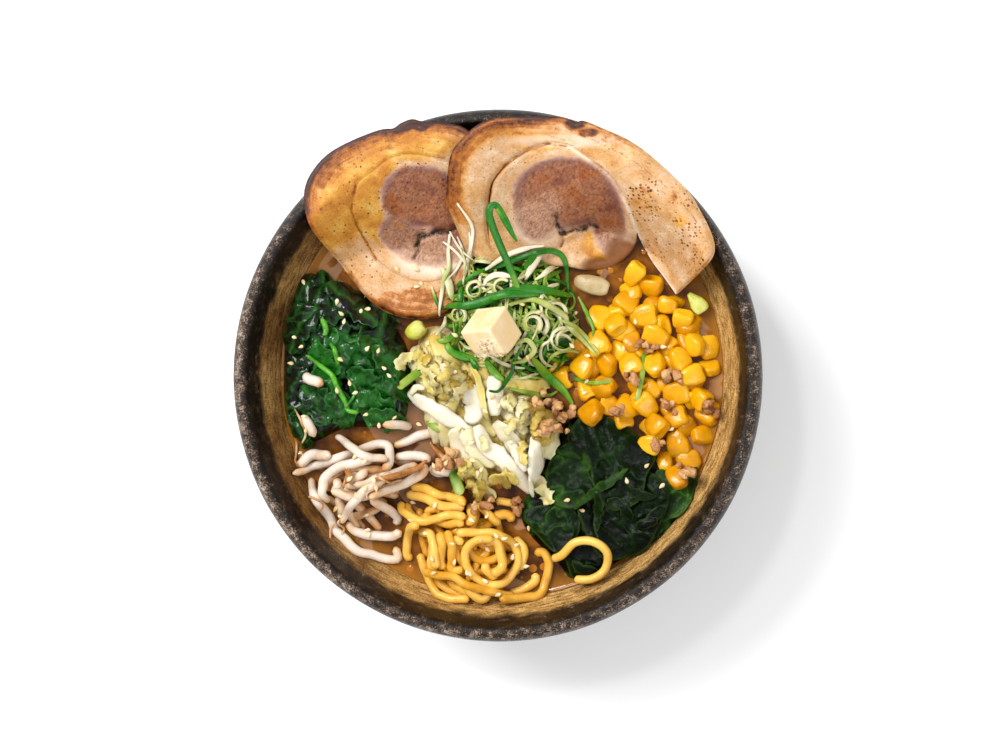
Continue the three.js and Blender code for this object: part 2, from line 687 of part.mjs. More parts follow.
// The cores are fitted to the slices, the butter and each other before anything is laid on them.
const inOrder = [
  ["scallion", "scallion_shreds", "scallion", scallionShreds()],
  ["cabbage", "cabbage_heap", "cabbage", cabbagePieces()],
  ["corn", "corn_heap", "corn", cornKernels()],
  ["wakame", "wakame", "wakame", wakameSheets()],
  ["spinach", "spinach_heap", "spinach", spinachPieces()],
  ["noodles", "noodle_nest", "noodle", noodleStrands()],
  ["sprouts", "bean_sprouts", "sprout", beanSprouts()],
];
const fixed = [porkLeft.solid(GAP), porkRight.solid(GAP), butterSolid(GAP)];
const cores = inOrder.map(([heap], i) => {
  const earlier = inOrder.slice(0, i).map(([name]) => heaps[name].solid(GAP));
  return carve(heaps[heap].solid(), [...fixed, ...earlier]);
});
inOrder.forEach(([, name, look, pieces], i) => {
  const unplaced = cores.slice(i + 1).map((solid) => ({ solid, mesh: meshOf(solid) }));
  place(name, look, fuse(cores[i], pieces, [...placed, ...unplaced]));
});

/** A single piece that lies clear of the heaps. */
function placeSingle(name, look, piece) {
  const laid = piece(restOn(null, placed));
  const lift = fittingLift(laid, placed);
  if (lift === undefined) throw new Error(name + " has no clear place");
  place(name, look, laid(0, lift));
}

const round = (shape) => lump({ sides: 8, rows: 5, ...shape });
const looseNoodle = strand({
  points: [[24, -79], [28, -74], [33, -69], [38, -68], [43, -71], [43, -77], [38, -80]],
  radius: NOODLE_RADIUS,
});
const leekWhite = round({ at: [38, 36], size: [18, 8.5, 8], heading: -12, square: 0.5 });
const leekWedge = round({ at: [80, 29], size: [12, 7.5, 6], heading: -52, square: 0.6 });
const scallionRound = round({ at: [-33, 18.5], size: [11, 9, 8], heading: 10, square: 0.7 });
const looseKernel = round({ at: [55, 41], size: [9, 8, 6], heading: 70, square: 0.5 });
placeSingle("noodle_loop", "noodle", looseNoodle);
placeSingle("leek_white", "leek", leekWhite);
placeSingle("leek_wedge", "leek", leekWedge);
placeSingle("scallion_round", "scallion", scallionRound);
placeSingle("corn_kernel_loose", "corn", looseKernel);

export default bowlOfRamen;
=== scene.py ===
"""A bowl of ramen: the looks of the bowl, the broth and each topping, built round the fixed frame."""

import functools
import json
import math

import bmesh
import bpy
import numpy as np
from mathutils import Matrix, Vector, noise

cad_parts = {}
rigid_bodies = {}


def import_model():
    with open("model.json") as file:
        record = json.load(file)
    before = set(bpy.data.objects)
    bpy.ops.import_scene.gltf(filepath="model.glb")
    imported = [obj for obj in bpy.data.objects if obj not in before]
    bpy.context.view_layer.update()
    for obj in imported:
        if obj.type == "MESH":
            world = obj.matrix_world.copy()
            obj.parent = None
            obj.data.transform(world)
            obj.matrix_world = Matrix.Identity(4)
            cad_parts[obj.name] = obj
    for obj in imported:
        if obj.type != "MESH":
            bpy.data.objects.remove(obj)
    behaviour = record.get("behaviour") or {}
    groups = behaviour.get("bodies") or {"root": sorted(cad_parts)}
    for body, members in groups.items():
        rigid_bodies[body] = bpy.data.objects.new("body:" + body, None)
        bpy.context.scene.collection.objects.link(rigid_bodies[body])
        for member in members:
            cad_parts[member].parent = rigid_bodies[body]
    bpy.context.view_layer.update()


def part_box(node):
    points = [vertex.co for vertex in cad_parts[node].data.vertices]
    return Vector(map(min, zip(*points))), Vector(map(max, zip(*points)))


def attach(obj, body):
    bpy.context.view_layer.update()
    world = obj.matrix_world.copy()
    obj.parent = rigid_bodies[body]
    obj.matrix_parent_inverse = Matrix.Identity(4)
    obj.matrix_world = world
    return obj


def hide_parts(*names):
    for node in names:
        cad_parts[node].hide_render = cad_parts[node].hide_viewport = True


bl_info = {
    "name": "Ramen Bowl",
    "version": (1, 0, 0),
    "blender": (4, 5, 0),
    "location": "3D View > Sidebar > Ramen",
    "description": "Builds a bowl of ramen with its toppings, one operator for each kind",
    "category": "Add Mesh",
}

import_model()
MM = 0.001  # sizes below are in millimetres; meshes are made in metres

BROTH_LEVEL = 58.0
RIM_HEIGHT = 82.0
WALL_TOP = 97.0  # radius of the inside wall just under the lip
AIR = 0.35  # between a piece and its neighbour
FAR = 1e9  # more than any distance here
FULL_TURN = 2 * math.pi
ANY_TURN = 3.14  # radians either way, for what lies at random
FOOD = []  # the pieces of food so far, for what is laid on them


# ---------- numbers and curves
def pairs(*numbers):
    """Plan points from x, y, x, y and so on."""
    return list(zip(numbers[::2], numbers[1::2]))


def smooth(t):
    t = np.clip(t, 0, 1)
    return t * t * (3 - 2 * t)


def lerp(a, b, t):
    return a + (b - a) * t


def bump(distance, width):
    return np.exp(-((distance / width) ** 2))


def field(points, size, seed=0.0, octaves=3):
    """Uneven noise of about this size in mm, from -1 to 1, at each point."""
    shift = Vector((seed * 7.1, seed * 3.7, seed * 5.3))
    return np.array([noise.fractal(Vector(p) / size + shift, 1.0, 2.0, octaves) for p in points])


def uneven(x, y, size, seed=0.0, octaves=3):
    """The same noise over a grid of plan points."""
    flat = np.column_stack([x.ravel(), y.ravel(), 0 * x.ravel()])
    return field(flat, size, seed, octaves).reshape(x.shape)


def unit(vectors):
    """Each vector at a length of 1."""
    return vectors / np.maximum(np.linalg.norm(vectors, axis=-1), 1e-9)[..., None]


def run_along(line):
    """How far along a line each of its points is."""
    return np.r_[0, np.cumsum(np.linalg.norm(np.diff(line, axis=0), axis=1))]


def resampled(line, places):
    """The points of a line at these distances along it."""
    run = run_along(line)
    return np.column_stack([np.interp(places, run, line[:, i]) for i in range(line.shape[1])])


def spline(points, spacing=0.8, closed=False):
    """A smooth curve through the points, as evenly spaced points."""
    p = np.asarray(points, float)
    if closed:
        p = np.vstack([p[-1:], p, p[:2]])
    else:
        p = np.vstack([2 * p[0] - p[1], p, 2 * p[-1] - p[-2]])
    dense = []
    t = np.linspace(0, 1, 16, endpoint=False)[:, None]
    for a, b, c, d in zip(p, p[1:], p[2:], p[3:]):
        square, cube = 2 * a - 5 * b + 4 * c - d, 3 * b - a - 3 * c + d
        dense.append(0.5 * (2 * b + (c - a) * t + square * t ** 2 + cube * t ** 3))
    dense = np.vstack(dense + [p[-2:-1]])
    run = run_along(dense)[-1]
    return resampled(dense, np.linspace(0, run, max(4, int(round(run / spacing)) + 1)))


def distance_to(path, x, y):
    """Distance from each plan point to a path."""
    p = np.column_stack([np.ravel(x), np.ravel(y)])
    best = np.full(len(p), FAR)
    path = np.asarray(path, float)[:, :2]
    for a, b in zip(path, path[1:]):
        along = b - a
        t = np.clip((p - a) @ along / max(along @ along, 1e-9), 0, 1)[:, None]
        best = np.minimum(best, np.linalg.norm(p - a - t * along, axis=1))
    return best.reshape(np.shape(x))


def blobs(x, y, *spots):
    """A mask from soft ellipses (x, y, radius along x, radius along y)."""
    mask = np.zeros(np.shape(x))
    for cx, cy, rx, ry in spots:
        mask = np.maximum(mask, 1 - smooth((np.hypot((x - cx) / rx, (y - cy) / ry) - 0.7) / 0.6))
    return mask


# ---------- materials
def linear(text):
    """An sRGB hex colour as linear red, green, blue and alpha. A colour of the settings stays."""
    if not isinstance(text, str):
        return list(text)
    parts = [int(text[i:i + 2], 16) / 255 for i in (1, 3, 5)]
    return [c / 12.92 if c <= 0.04045 else ((c + 0.055) / 1.055) ** 2.4 for c in parts] + [1.0]


def add(tree, kind, inputs=None, stops=(), **settings):
    """Adds a shader, geometry or function node with its settings. An input, by name or number, takes
    a value, a hex colour, or the node or socket that feeds it. stops are the (position, colour)
    pairs of a colour ramp."""
    kinds = [family + kind for family in ("ShaderNode", "GeometryNode", "FunctionNode", "")]
    made = tree.nodes.new(next(k for k in kinds if hasattr(bpy.types, k)))
    for key, value in settings.items():
        setattr(made, key, value)
    for key, value in (inputs or {}).items():
        if isinstance(key, int):
            socket = made.inputs[key]
        else:
            socket = next(s for s in made.inputs if s.enabled and s.name == key)
        if isinstance(value, bpy.types.Node):
            value = next(o for o in value.outputs if o.enabled)
        if isinstance(value, bpy.types.NodeSocket):
            tree.links.new(value, socket)
        else:
            socket.default_value = linear(value) if socket.type == "RGBA" else value
    for i, (position, text) in enumerate(stops):
        elements = made.color_ramp.elements
        element = elements[i] if i < 2 else elements.new(position)
        element.position = position
        element.color = linear(text)
    return made


def new_material(name):
    """An empty material, what adds a node to it, and Object coordinates in mm."""
    made = bpy.data.materials.new(name)
    made.use_nodes = True
    made.node_tree.nodes.clear()
    node = functools.partial(add, made.node_tree)
    place = node("TexCoord").outputs["Object"]
    return made, node, node("VectorMath", {"Vector": place, "Scale": 1 / MM}, operation="SCALE")


def surface(node, colour, height=None, depth=0.2, glow=None, **values):
    """Ends a tree in a Principled shader of this colour, with bump of this depth in mm. glow is the
    share of light that enters, and how many mm its red, green and blue travel."""
    inputs = {key.replace("_", " "): value for key, value in values.items()}
    inputs["Base Color"] = colour
    if glow:
        inputs["Subsurface Weight"], inputs["Subsurface Radius"] = glow
        inputs["Subsurface Scale"] = MM
    if height is not None:
        inputs["Normal"] = node("Bump", {"Height": height, "Distance": depth * MM})
    shader = node("BsdfPrincipled", inputs)
    node("OutputMaterial", {"Surface": shader})


def frayed(node, mark, *noises):
    """A mark whose edge is broken up by pairs of a noise and its strength."""
    for pattern, strength in noises:
        shift = node("Math", {0: pattern, 1: 0.5}, operation="SUBTRACT")
        mark = node("Math", {0: shift, 1: strength, 2: mark}, operation="MULTIPLY_ADD")
    return mark


def covered(node, under, over, mark, start=0.0, end=1.0, most=1.0):
    """A colour with another over it, from nothing where a mark is at start to most at end."""
    share = node("MapRange", {"Value": mark, "From Min": start, "From Max": end, "To Max": most})
    return node("Mix", {"Factor": share, "A": under, "B": over}, data_type="RGBA")


def multiplied(node, under, over, share):
    """A colour darkened by another."""
    return node("Mix", {"Factor": share, "A": under, "B": over}, data_type="RGBA", blend_type="MULTIPLY")


def masks_of(node, *names):
    """The attributes of these names."""
    return [node("Attribute", attribute_name=name).outputs["Fac"] for name in names]


# ---------- settings
def a_colour(name, description, text):
    """A colour that a user may change."""
    return bpy.props.FloatVectorProperty(name=name, description=description, subtype="COLOR", size=4, min=0,
        max=1, default=linear(text))


def a_length(name, description, mm):
    """A length that a user may change, given in mm and kept in metres."""
    return bpy.props.FloatProperty(name=name, description=description, unit="LENGTH", precision=4, min=0,
        default=mm * MM)


def a_number(name, description, number):
    """How many of a thing there are."""
    return bpy.props.IntProperty(name=name, description=description, min=0, default=number)


class BowlSettings(bpy.types.PropertyGroup):
    """The bowl and its broth."""
    glaze: a_colour("Glaze", "Iron glaze on the lip and the outside", "#1c1109")
    slip: a_colour("Slip", "Brushed slip on the inside", "#c49858")
    broth: a_colour("Broth", "Broth where it is deep", "#633708")
    shallows: a_colour("Shallows", "Broth at its edge", "#9c661c")
    fat_drops: a_colour("Fat drops", "Droplets of fat on the broth", "#a9691c")


class PorkSettings(bpy.types.PropertyGroup):
    """The slices of rolled pork belly and the fried mince."""
    thickness: a_length("Thickness", "Thickness of a slice", 6.0)
    fat: a_colour("Fat", "Soft fat of a slice", "#dcb48c")
    crust: a_colour("Crust", "Toasted edge of a slice", "#b56d20")
    mince: a_colour("Mince", "Fried minced pork", "#c9905c")


class StrandSettings(bpy.types.PropertyGroup):
    """The noodles and the bean sprouts."""
    noodle_radius: a_length("Noodle radius", "Half the thickness of a noodle", 1.8)
    noodle: a_colour("Noodle", "Boiled egg noodle", "#cf9222")
    noodles_below: a_number("Noodles below", "Noodles lying under those that are drawn", 60)
    sprout_radius: a_length("Sprout radius", "Half the thickness of a bean sprout", 2.0)
    sprout: a_colour("Sprout", "Blanched bean sprout", "#d6b894")
    sprouts_below: a_number("Sprouts below", "Sprouts lying under those that are drawn", 30)


class GreensSettings(bpy.types.PropertyGroup):
    """The leaves, the cabbage and the scallion."""
    spinach: a_colour("Spinach", "Boiled spinach", "#0d4a0e")
    wakame: a_colour("Wakame", "Soaked wakame", "#0a2005")
    cabbage: a_colour("Cabbage", "Leaf of the wilted cabbage", "#d4c06c")
    cabbage_shreds: a_number("Cabbage shreds", "Shreds lying under those that are drawn", 34)
    scallion: a_colour("Scallion", "Green leaf of the scallion", "#40881a")
    scallion_shreds: a_number("Scallion shreds", "Fine shreds in the heap", 200)
    leek: a_colour("Leek", "Braised white of a leek", "#ad966a")


class ToppingSettings(bpy.types.PropertyGroup):
    """The corn, the butter and the sesame."""
    kernel: a_length("Kernel", "Length of a corn kernel", 10.4)
    corn: a_colour("Corn", "Steamed sweetcorn", "#dfa004")
    butter_edge: a_length("Butter edge", "Edge of the butter cube", 15.0)
    butter: a_colour("Butter", "Cut faces of the butter", "#f3d8a8")
    seed: a_length("Seed", "Length of a sesame seed", 2.7)
    sesame: a_colour("Sesame", "Roasted sesame", "#e2c086")


class StageSettings(bpy.types.PropertyGroup):
    """The floor, the lights and the camera."""
    floor: a_colour("Floor", "The floor", "#ffffff")
    tilt: bpy.props.FloatProperty(name="Camera tilt", description="Angle of the camera from straight down",
        unit="ROTATION", default=math.radians(6.5))
    distance: a_length("Camera distance", "Camera to the middle of the rim", 800.0)
    window: bpy.props.FloatProperty(name="Window", description="Power of the main light", unit="POWER",
        default=23.5)


class RamenSettings(bpy.types.PropertyGroup):
    """All the settings of the bowl of ramen."""
    bowl: bpy.props.PointerProperty(type=BowlSettings)
    pork: bpy.props.PointerProperty(type=PorkSettings)
    strands: bpy.props.PointerProperty(type=StrandSettings)
    greens: bpy.props.PointerProperty(type=GreensSettings)
    toppings: bpy.props.PointerProperty(type=ToppingSettings)
    stage: bpy.props.PointerProperty(type=StageSettings)


# ---------- meshes
def quads(rows, columns, wrap=False, start=0):
    """Faces of a grid of rows by columns points, closed round along the columns if wrap."""
    i, j = np.meshgrid(np.arange(rows - 1), np.arange(columns if wrap else columns - 1), indexing="ij")
    low, high, after = i * columns, (i + 1) * columns, (j + 1) % columns
    grid = np.stack([low + j, low + after, high + after, high + j], axis=-1)
    return (grid.reshape(-1, 4) + start).tolist()


def mesh_from(name, points, faces, attributes=None, edges=()):
    """A mesh from points in mm, with a float attribute of each name."""
    mesh = bpy.data.meshes.new(name)
    mesh.from_pydata((np.asarray(points) * MM).tolist(), edges, faces)
    for key, values in (attributes or {}).items():
        vector = np.ndim(values) == 2 and np.shape(values)[1] == 3
        layer = mesh.attributes.new(key, "FLOAT_VECTOR" if vector else "FLOAT", "POINT")
        flat = np.ascontiguousarray(values, dtype=np.float32).ravel()
        layer.data.foreach_set("vector" if vector else "value", flat)
    mesh.update()
    return mesh


def joined(parts):
    """One (points, faces, attributes) from several."""
    points, faces, attributes, start = [], [], {}, 0
    for p, f, a in parts:
        points.append(np.asarray(p))
        faces += [[v + start for v in face] for face in f]
        for key, values in a.items():
            attributes.setdefault(key, []).append(np.broadcast_to(values, len(p)))
        start += len(p)
    return np.vstack(points), faces, {k: np.concatenate(v) for k, v in attributes.items()}


def show(name, mesh, material, slot, replaces=()):
    """Makes a mesh a smooth-shaded piece that rides on the bowl and stands for the named nodes."""
    mesh.name = name
    mesh.materials.clear()
    mesh.materials.append(material)
    mesh.shade_smooth()
    piece = bpy.data.objects.new(name, mesh)
    bpy.context.collection.objects.link(piece)
    if slot != "stoneware":
        FOOD.append(name)
    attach(piece, "root")
    if replaces:
        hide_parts(*replaces)


def round_faces(rows, around):
    """Faces of rings of points round an axis, closed by a last point but one and a last point."""
    faces, end = quads(rows, around, wrap=True), (rows - 1) * around
    for s in range(around):
        t = (s + 1) % around
        faces += [[end + around, t, s], [end + around + 1, end + s, end + t]]
    return faces


def lathe(profile, around, ripple=lambda angle, r, z: r):
    """A surface of revolution of a profile that starts and ends on the axis."""
    profile = np.asarray(profile, float)
    inner = profile[1:-1]
    angle = np.linspace(0, FULL_TURN, around, endpoint=False)[None, :]
    z = np.broadcast_to(inner[:, 1:2], (len(inner), around))
    r = ripple(angle, inner[:, :1] + 0 * angle, z)
    rings = np.dstack([r * np.cos(angle), r * np.sin(angle), z]).reshape(-1, 3)
    points = np.vstack([rings, [[0, 0, profile[0, 1]], [0, 0, profile[-1, 1]]]])
    return points, round_faces(len(inner), around)


# ---------- bowl and broth
def bezier(a, b, c, d, count):
    t = np.linspace(0, 1, count)[:, None]
    a, b, c, d = (np.array(p, float) for p in (a, b, c, d))
    return a * (1 - t) ** 3 + 3 * b * t * (1 - t) ** 2 + 3 * c * t ** 2 * (1 - t) + d * t ** 3


INSIDE_WALL = bezier((0, 13.5), (52, 13.5), (84, 42), (WALL_TOP, 70), 60)


def stoneware_glaze(look):
    """Reduction-fired stoneware. An iron-black glaze on the lip and outside, with specks like salt
    and pepper, worn grey on the crest. Inside, a tan slip that keeps the strokes of its brush."""
    made, node, mm = new_material("stoneware_iron_glaze")
    inside, worn = masks_of(node, "inside", "worn")
    split = node("SeparateXYZ", {"Vector": mm})
    flat = node("CombineXYZ", {"X": split.outputs["X"], "Y": split.outputs["Y"]})
    radius = node("VectorMath", {"Vector": flat}, operation="LENGTH").outputs["Value"]
    heading = node("VectorMath", {"Vector": flat}, operation="NORMALIZE")
    # a brush stroke runs about 6 mm round the wall and is half a millimetre wide
    around = node("VectorMath", {"Vector": heading, "Scale": 10.0}, operation="SCALE")
    across = node("CombineXYZ", {"Z": radius})
    along_stroke = node("VectorMath", {0: around, 1: across}, operation="ADD")
    stroke = node("TexNoise", {"Vector": along_stroke, "Scale": 1.6, "Detail": 6.0, "Roughness": 0.75})
    grain = node("TexNoise", {"Vector": mm, "Scale": 1.6, "Detail": 3.0, "Roughness": 0.8})
    cloud = node("TexNoise", {"Vector": mm, "Scale": 0.035, "Detail": 3.0})
    mottle = node("TexNoise", {"Vector": mm, "Scale": 0.28, "Detail": 8.0, "Roughness": 0.72})
    both = node("Mix", {"Factor": 0.45, "A": stroke, "B": grain})
    slip = node("ValToRGB", {"Fac": both}, stops=[(0.37, "#40290f"), (0.68, "#f6dcaa"), (0.45, "#88642f"),
        (0.52, look.slip), (0.6, "#e4bc7a")])
    # painted shade: the slip is darkened towards the side at -X, where the inside wall lies in shade
    thin = node("MapRange", {"Value": split.outputs["X"], "From Min": -95.0, "From Max": -20.0,
        "To Min": -0.25, "To Max": 0.0})
    coat = node("Math", {0: cloud, 1: thin}, operation="ADD")
    shade = node("ValToRGB", {"Fac": coat}, stops=[(0.2, "#8d765f"), (0.5, "#ffffff")])
    slip_toned = multiplied(node, slip, shade, 0.85)
    # iron specks are half a millimetre, and bare patches on the crest are 1 to 4 mm
    salted = node("Mix", {"Factor": 0.52, "A": mottle, "B": grain})
    shown = node("Math", {0: worn, 1: 0.085, 2: salted}, operation="MULTIPLY_ADD")
    glaze = node("ValToRGB", {"Fac": shown}, stops=[(0.5, "#070403"), (0.76, "#cdc2b6"), (0.55, look.glaze),
        (0.59, "#4b3827"), (0.63, "#7e6a59"), (0.68, "#a99a8b")])
    all_over = node("Mix", {"Factor": inside, "A": glaze, "B": slip_toned}, data_type="RGBA")
    height = node("Mix", {"Factor": inside, "A": salted, "B": both})
    surface(node, all_over, height, 0.5, Roughness=0.38, IOR=1.5, Specular_IOR_Level=0.3)
    return made


def make_bowl(look):
    crest = (101.6, RIM_HEIGHT)
    lip_inside = bezier((WALL_TOP, 70), (98.4, 74), (98.6, RIM_HEIGHT), crest, 16)[1:]
    lip_outside = bezier(crest, (104.6, RIM_HEIGHT), (106, 79), (106, 75), 16)[1:]
    outside = bezier((106, 75), (103, 58), (80, 24), (47, 9), 40)[1:]
    foot = [(46.2, 4), (45.3, 0.8), (44.4, 0), (40.6, 0), (39.6, 0.8), (37.8, 4.6), (36, 5.2), (0, 6)]
    profile = np.vstack([INSIDE_WALL, lip_inside, lip_outside, outside, foot])[::-1]

    def thrown(angle, r, z):
        """A hand-thrown wall is a little uneven, and never wider than its size."""
        waver = 0.3 * np.sin(3 * angle + 1) + 0.15 * np.sin(7 * angle + z / 9) + 0.08 * np.sin(17 * angle)
        return r - (0.22 + 0.4 * waver) * smooth((r - 60) / 40) * smooth((z - 5) / 20)

    points, faces = lathe(profile, 320, thrown)
    radius = np.hypot(points[:, 0], points[:, 1])
    z = points[:, 2]
    ragged = 0.9 * field(points, 9, 1)
    # the slip inside ends where the lip begins to round over
    inner_side = z > np.interp(radius, INSIDE_WALL[:, 0], INSIDE_WALL[:, 1]) - 1.5
    inside = inner_side * (1 - smooth((radius + ragged - 95.4) / 1.7))
    # the glaze is worn most where the bowl is held, at -X
    away = np.maximum(radius, 1)
    held = (0.98 - 0.2 * points[:, 0] / away) * (1 - 0.85 * smooth((points[:, 1] / away - 0.2) / 0.7))
    worn = bump(radius - 103.0 + ragged, 2.6) * (z > 60) * held + 0.3 * (z < 74)
    mesh = mesh_from("bowl", points, faces, {"inside": inside, "worn": worn})
    show("bowl_stoneware", mesh, stoneware_glaze(look), "stoneware", ["bowl"])


def broth_glaze(look):
    """Clear brown broth with melted fat: dark where it is deep, amber at its edge, with round
    droplets of fat on it, and as glossy as water."""
    made, node, mm = new_material("broth_with_fat")
    shallow, = masks_of(node, "shallow")
    cloud = node("TexNoise", {"Vector": mm, "Scale": 0.07, "Detail": 5.0, "Roughness": 0.6})
    deep = node("ValToRGB", {"Fac": cloud}, stops=[(0.36, "#351a04"), (0.5, look.broth), (0.62, "#8a5310"),
        (0.72, "#ad741c")])
    amber = node("Mix", {"Factor": shallow, "A": deep, "B": look.shallows}, data_type="RGBA")
    # droplets of fat are 1 to 4 mm across
    cells = node("TexVoronoi", {"Vector": mm, "Scale": 0.22, "Randomness": 1.0})
    kept = node("SeparateColor", {"Color": cells.outputs["Color"]})
    reach = node("MapRange", {"Value": kept.outputs["Red"], "From Min": 0.45, "From Max": 1.0,
        "To Min": -0.1, "To Max": 0.42})
    inside = node("Math", {0: reach, 1: cells.outputs["Distance"]}, operation="SUBTRACT")
    dotted = covered(node, amber, look.fat_drops, inside, 0.0, 0.05)
    lens = node("MapRange", {"Value": inside, "From Min": 0.0, "From Max": 0.14})
    # a film of fat lies on it in pale sheets of 5 to 20 mm
    sheet = node("TexNoise", {"Vector": mm, "Scale": 0.045, "Detail": 2.0, "Distortion": 1.2})
    filmed = covered(node, dotted, "#c9a07c", sheet, 0.6, 0.62, 0.3)
    surface(node, filmed, lens, 0.12, Roughness=0.06, IOR=1.36, Specular_IOR_Level=0.4)
    return made


def make_broth(look):
    slope = unit(np.gradient(INSIDE_WALL, axis=0))
    skin = INSIDE_WALL + AIR * slope[:, ::-1] * (-1, 1)
    skin[:, 0] = np.maximum(0, skin[:, 0])
    wet = skin[skin[:, 1] < BROTH_LEVEL - 1]
    brim = np.interp(BROTH_LEVEL + 0.8, skin[:, 1], skin[:, 0])
    # the broth creeps up the wall by less than a millimetre
    reach = np.concatenate([np.linspace(brim, brim - 5, 14), np.linspace(brim - 6, 1, 70)])
    top = [(r, BROTH_LEVEL + 0.8 * math.exp(-(brim - r) / 1.4)) for r in reach]
    points, faces = lathe(np.vstack([[(0, skin[0, 1])], wet[1:], top, [(0, BROTH_LEVEL)]]), 240)
    radius = np.hypot(points[:, 0], points[:, 1])
    calm = points[:, 2] > BROTH_LEVEL - 0.5
    points[:, 2] += np.where(calm & (radius < 88), 0.12 * field(points, 14, 3, 2), 0)
    shallow = smooth((radius - 80) / 10) * 0.8
    mesh = mesh_from("broth", points, faces, {"shallow": shallow})
    show("broth_surface", mesh, broth_glaze(look), "broth", ["broth"])


# ---------- rolled pork
def pork_underside(x, y):
    """Height of a slice's underside: on the broth inside, up over the wall, and on the lip."""
    radius = np.hypot(x, y)
    from_back = np.abs(np.degrees(np.arctan2(y, x)) - 90)
    shore = lerp(45, 79, smooth((from_back - 10) / 50))
    climb = np.clip((radius - shore) / (WALL_TOP - 2 - shore), 0, 1)
    return lerp(BROTH_LEVEL + AIR, RIM_HEIGHT + 2 * AIR, (climb + smooth(climb)) / 2)


def braised_pork(look):
    """Rolled pork belly, braised and torched. Soft pale fat stained orange by the glaze lies in
    layers round fine-grained brown lean meat. The edge is toasted, and pepper sticks to it."""
    made, node, mm = new_material("braised_pork_belly")
    lean, pale, toast, stain, crack, line, pepper, soaked, deep = masks_of(node, "lean", "pale", "toast",
        "stain", "crack", "line", "pepper", "soaked", "edge")
    fine = node("TexNoise", {"Vector": mm, "Scale": 1.3, "Detail": 4.0, "Roughness": 0.8})
    # muscle fibres are a millimetre wide and twice as long
    combed = node("Mapping", {"Vector": mm, "Rotation": (0, 0, 1.0), "Scale": (2.0, 1.0, 1.0)},
        vector_type="TEXTURE")
    fibre = node("TexNoise", {"Vector": combed, "Scale": 1.0, "Detail": 5.0, "Roughness": 0.8})
    soft = node("TexNoise", {"Vector": mm, "Scale": 0.11, "Detail": 5.0, "Roughness": 0.6})
    blotch = node("TexNoise", {"Vector": mm, "Scale": 0.33, "Detail": 5.0, "Roughness": 0.7})
    # layers of about a millimetre run along the edge of the slice
    along = node("VectorMath", {"Vector": mm, "Scale": 0.07}, operation="SCALE")
    layered = node("VectorMath", {0: along, 1: node("CombineXYZ", {"Z": deep})}, operation="ADD")
    layers = node("TexNoise", {"Vector": layered, "Scale": 0.7, "Detail": 5.0, "Roughness": 0.65})
    streaky = node("Mix", {"Factor": 0.2, "A": soft, "B": layers})
    fat = node("ValToRGB", {"Fac": streaky}, stops=[(0.34, "#c6945c"), (0.66, "#f2dab6"), (0.44, "#d9ab74"),
        (0.53, look.fat)])
    orange = node("ValToRGB", {"Fac": streaky}, stops=[(0.34, "#b87420"), (0.68, "#ecc678"),
        (0.45, "#cf8e30"), (0.55, "#dfa746")])
    # the orange stain; where it is taken away along a ridge, the pale fat is a painted highlight
    base = covered(node, fat, orange, frayed(node, stain, (blotch, 0.9)), 0.1, 0.9)
    pores = node("ValToRGB", {"Fac": fine}, stops=[(0.32, "#8d6444"), (0.6, "#ffffff"), (0.43, "#e2d3c2")])
    pored = multiplied(node, base, pores, 0.65)
    # from its border in, the lean meat goes from pale fat over mauve to brown
    depth = frayed(node, lean, (soft, 0.8), (blotch, 0.4))
    meat = node("ValToRGB", {"Fac": depth}, stops=[(0.28, "#e3c29b"), (1.0, "#b47c58"), (0.38, "#d8b491"),
        (0.46, "#c9a48c"), (0.54, "#b58d7c"), (0.62, "#a47a6c"), (0.72, "#a0735f"), (0.86, "#ad785a")])
    # the muscles differ: some are mauve and some tan
    tinge = node("ValToRGB", {"Fac": soft}, stops=[(0.34, "#b795a0"), (0.64, "#f6cf98"), (0.44, "#e8d6d8"),
        (0.54, "#ffffff")])
    muscle = multiplied(node, meat, tinge, 0.9)
    grain = node("ValToRGB", {"Fac": fibre}, stops=[(0.36, "#9a8680"), (0.66, "#ffffff"), (0.5, "#dccfc9")])
    lighter = covered(node, muscle, "#d9b496", pale, most=0.7)
    fibrous = node("MapRange", {"Value": depth, "From Min": 0.4, "From Max": 0.8, "To Min": 0.15})
    grained = multiplied(node, lighter, grain, fibrous)
    # pale fat, and along the inner edge of the band a painted highlight
    skin = covered(node, pored, "#f3e2cf", pale, most=0.7)
    meaty = covered(node, skin, grained, depth, 0.26, 0.42)
    # toasted parts, and places darkened as painted shade, go from amber to nearly burnt
    speckled = frayed(node, toast, (blotch, 1.0), (layers, 1.0), (fine, 0.6))
    crust = node("ValToRGB", {"Fac": speckled}, stops=[(0.3, "#cb862c"), (1.0, "#3d180a"),
        (0.52, look.crust), (0.85, "#7c3f12")])
    crusty = covered(node, meaty, crust, speckled, 0.22, 0.6)
    # brown along the layer lines and grooves: partly the seams' own colour, partly painted shade in the
    # grooves
    lined = covered(node, crusty, "#824315", frayed(node, line, (blotch, 1.7)), 0.45, 1.0, 0.9)
    # the cracks are painted near-black: torn meat, darkened further as painted shade in the hollows
    opened = covered(node, lined, "#220f09", frayed(node, crack, (blotch, 1.8), (fine, 1.6)), 0.3, 1.0)
    # ground pepper, in grains of up to a millimetre
    cells = node("TexVoronoi", {"Vector": mm, "Scale": 0.85, "Randomness": 1.0})
    chosen = node("SeparateColor", {"Color": cells.outputs["Color"]})
    peppery = node("Math", {0: chosen.outputs["Green"], 1: pepper}, operation="ADD")
    size = node("MapRange", {"Value": peppery, "From Min": 0.95, "From Max": 1.4, "To Max": 0.5})
    ground = node("Math", {0: cells.outputs["Distance"], 1: size}, operation="LESS_THAN")
    speck = covered(node, "#4a220e", "#a8652a", chosen.outputs["Red"])
    wet = covered(node, covered(node, opened, speck, ground), "#7d4a1a", soaked)
    height = node("Mix", {"Factor": 0.65, "A": layers, "B": fine})
    surface(node, wet, height, 0.45, Roughness=0.34, IOR=1.42, glow=(0.08, (2, 0.9, 0.5)))
    return made


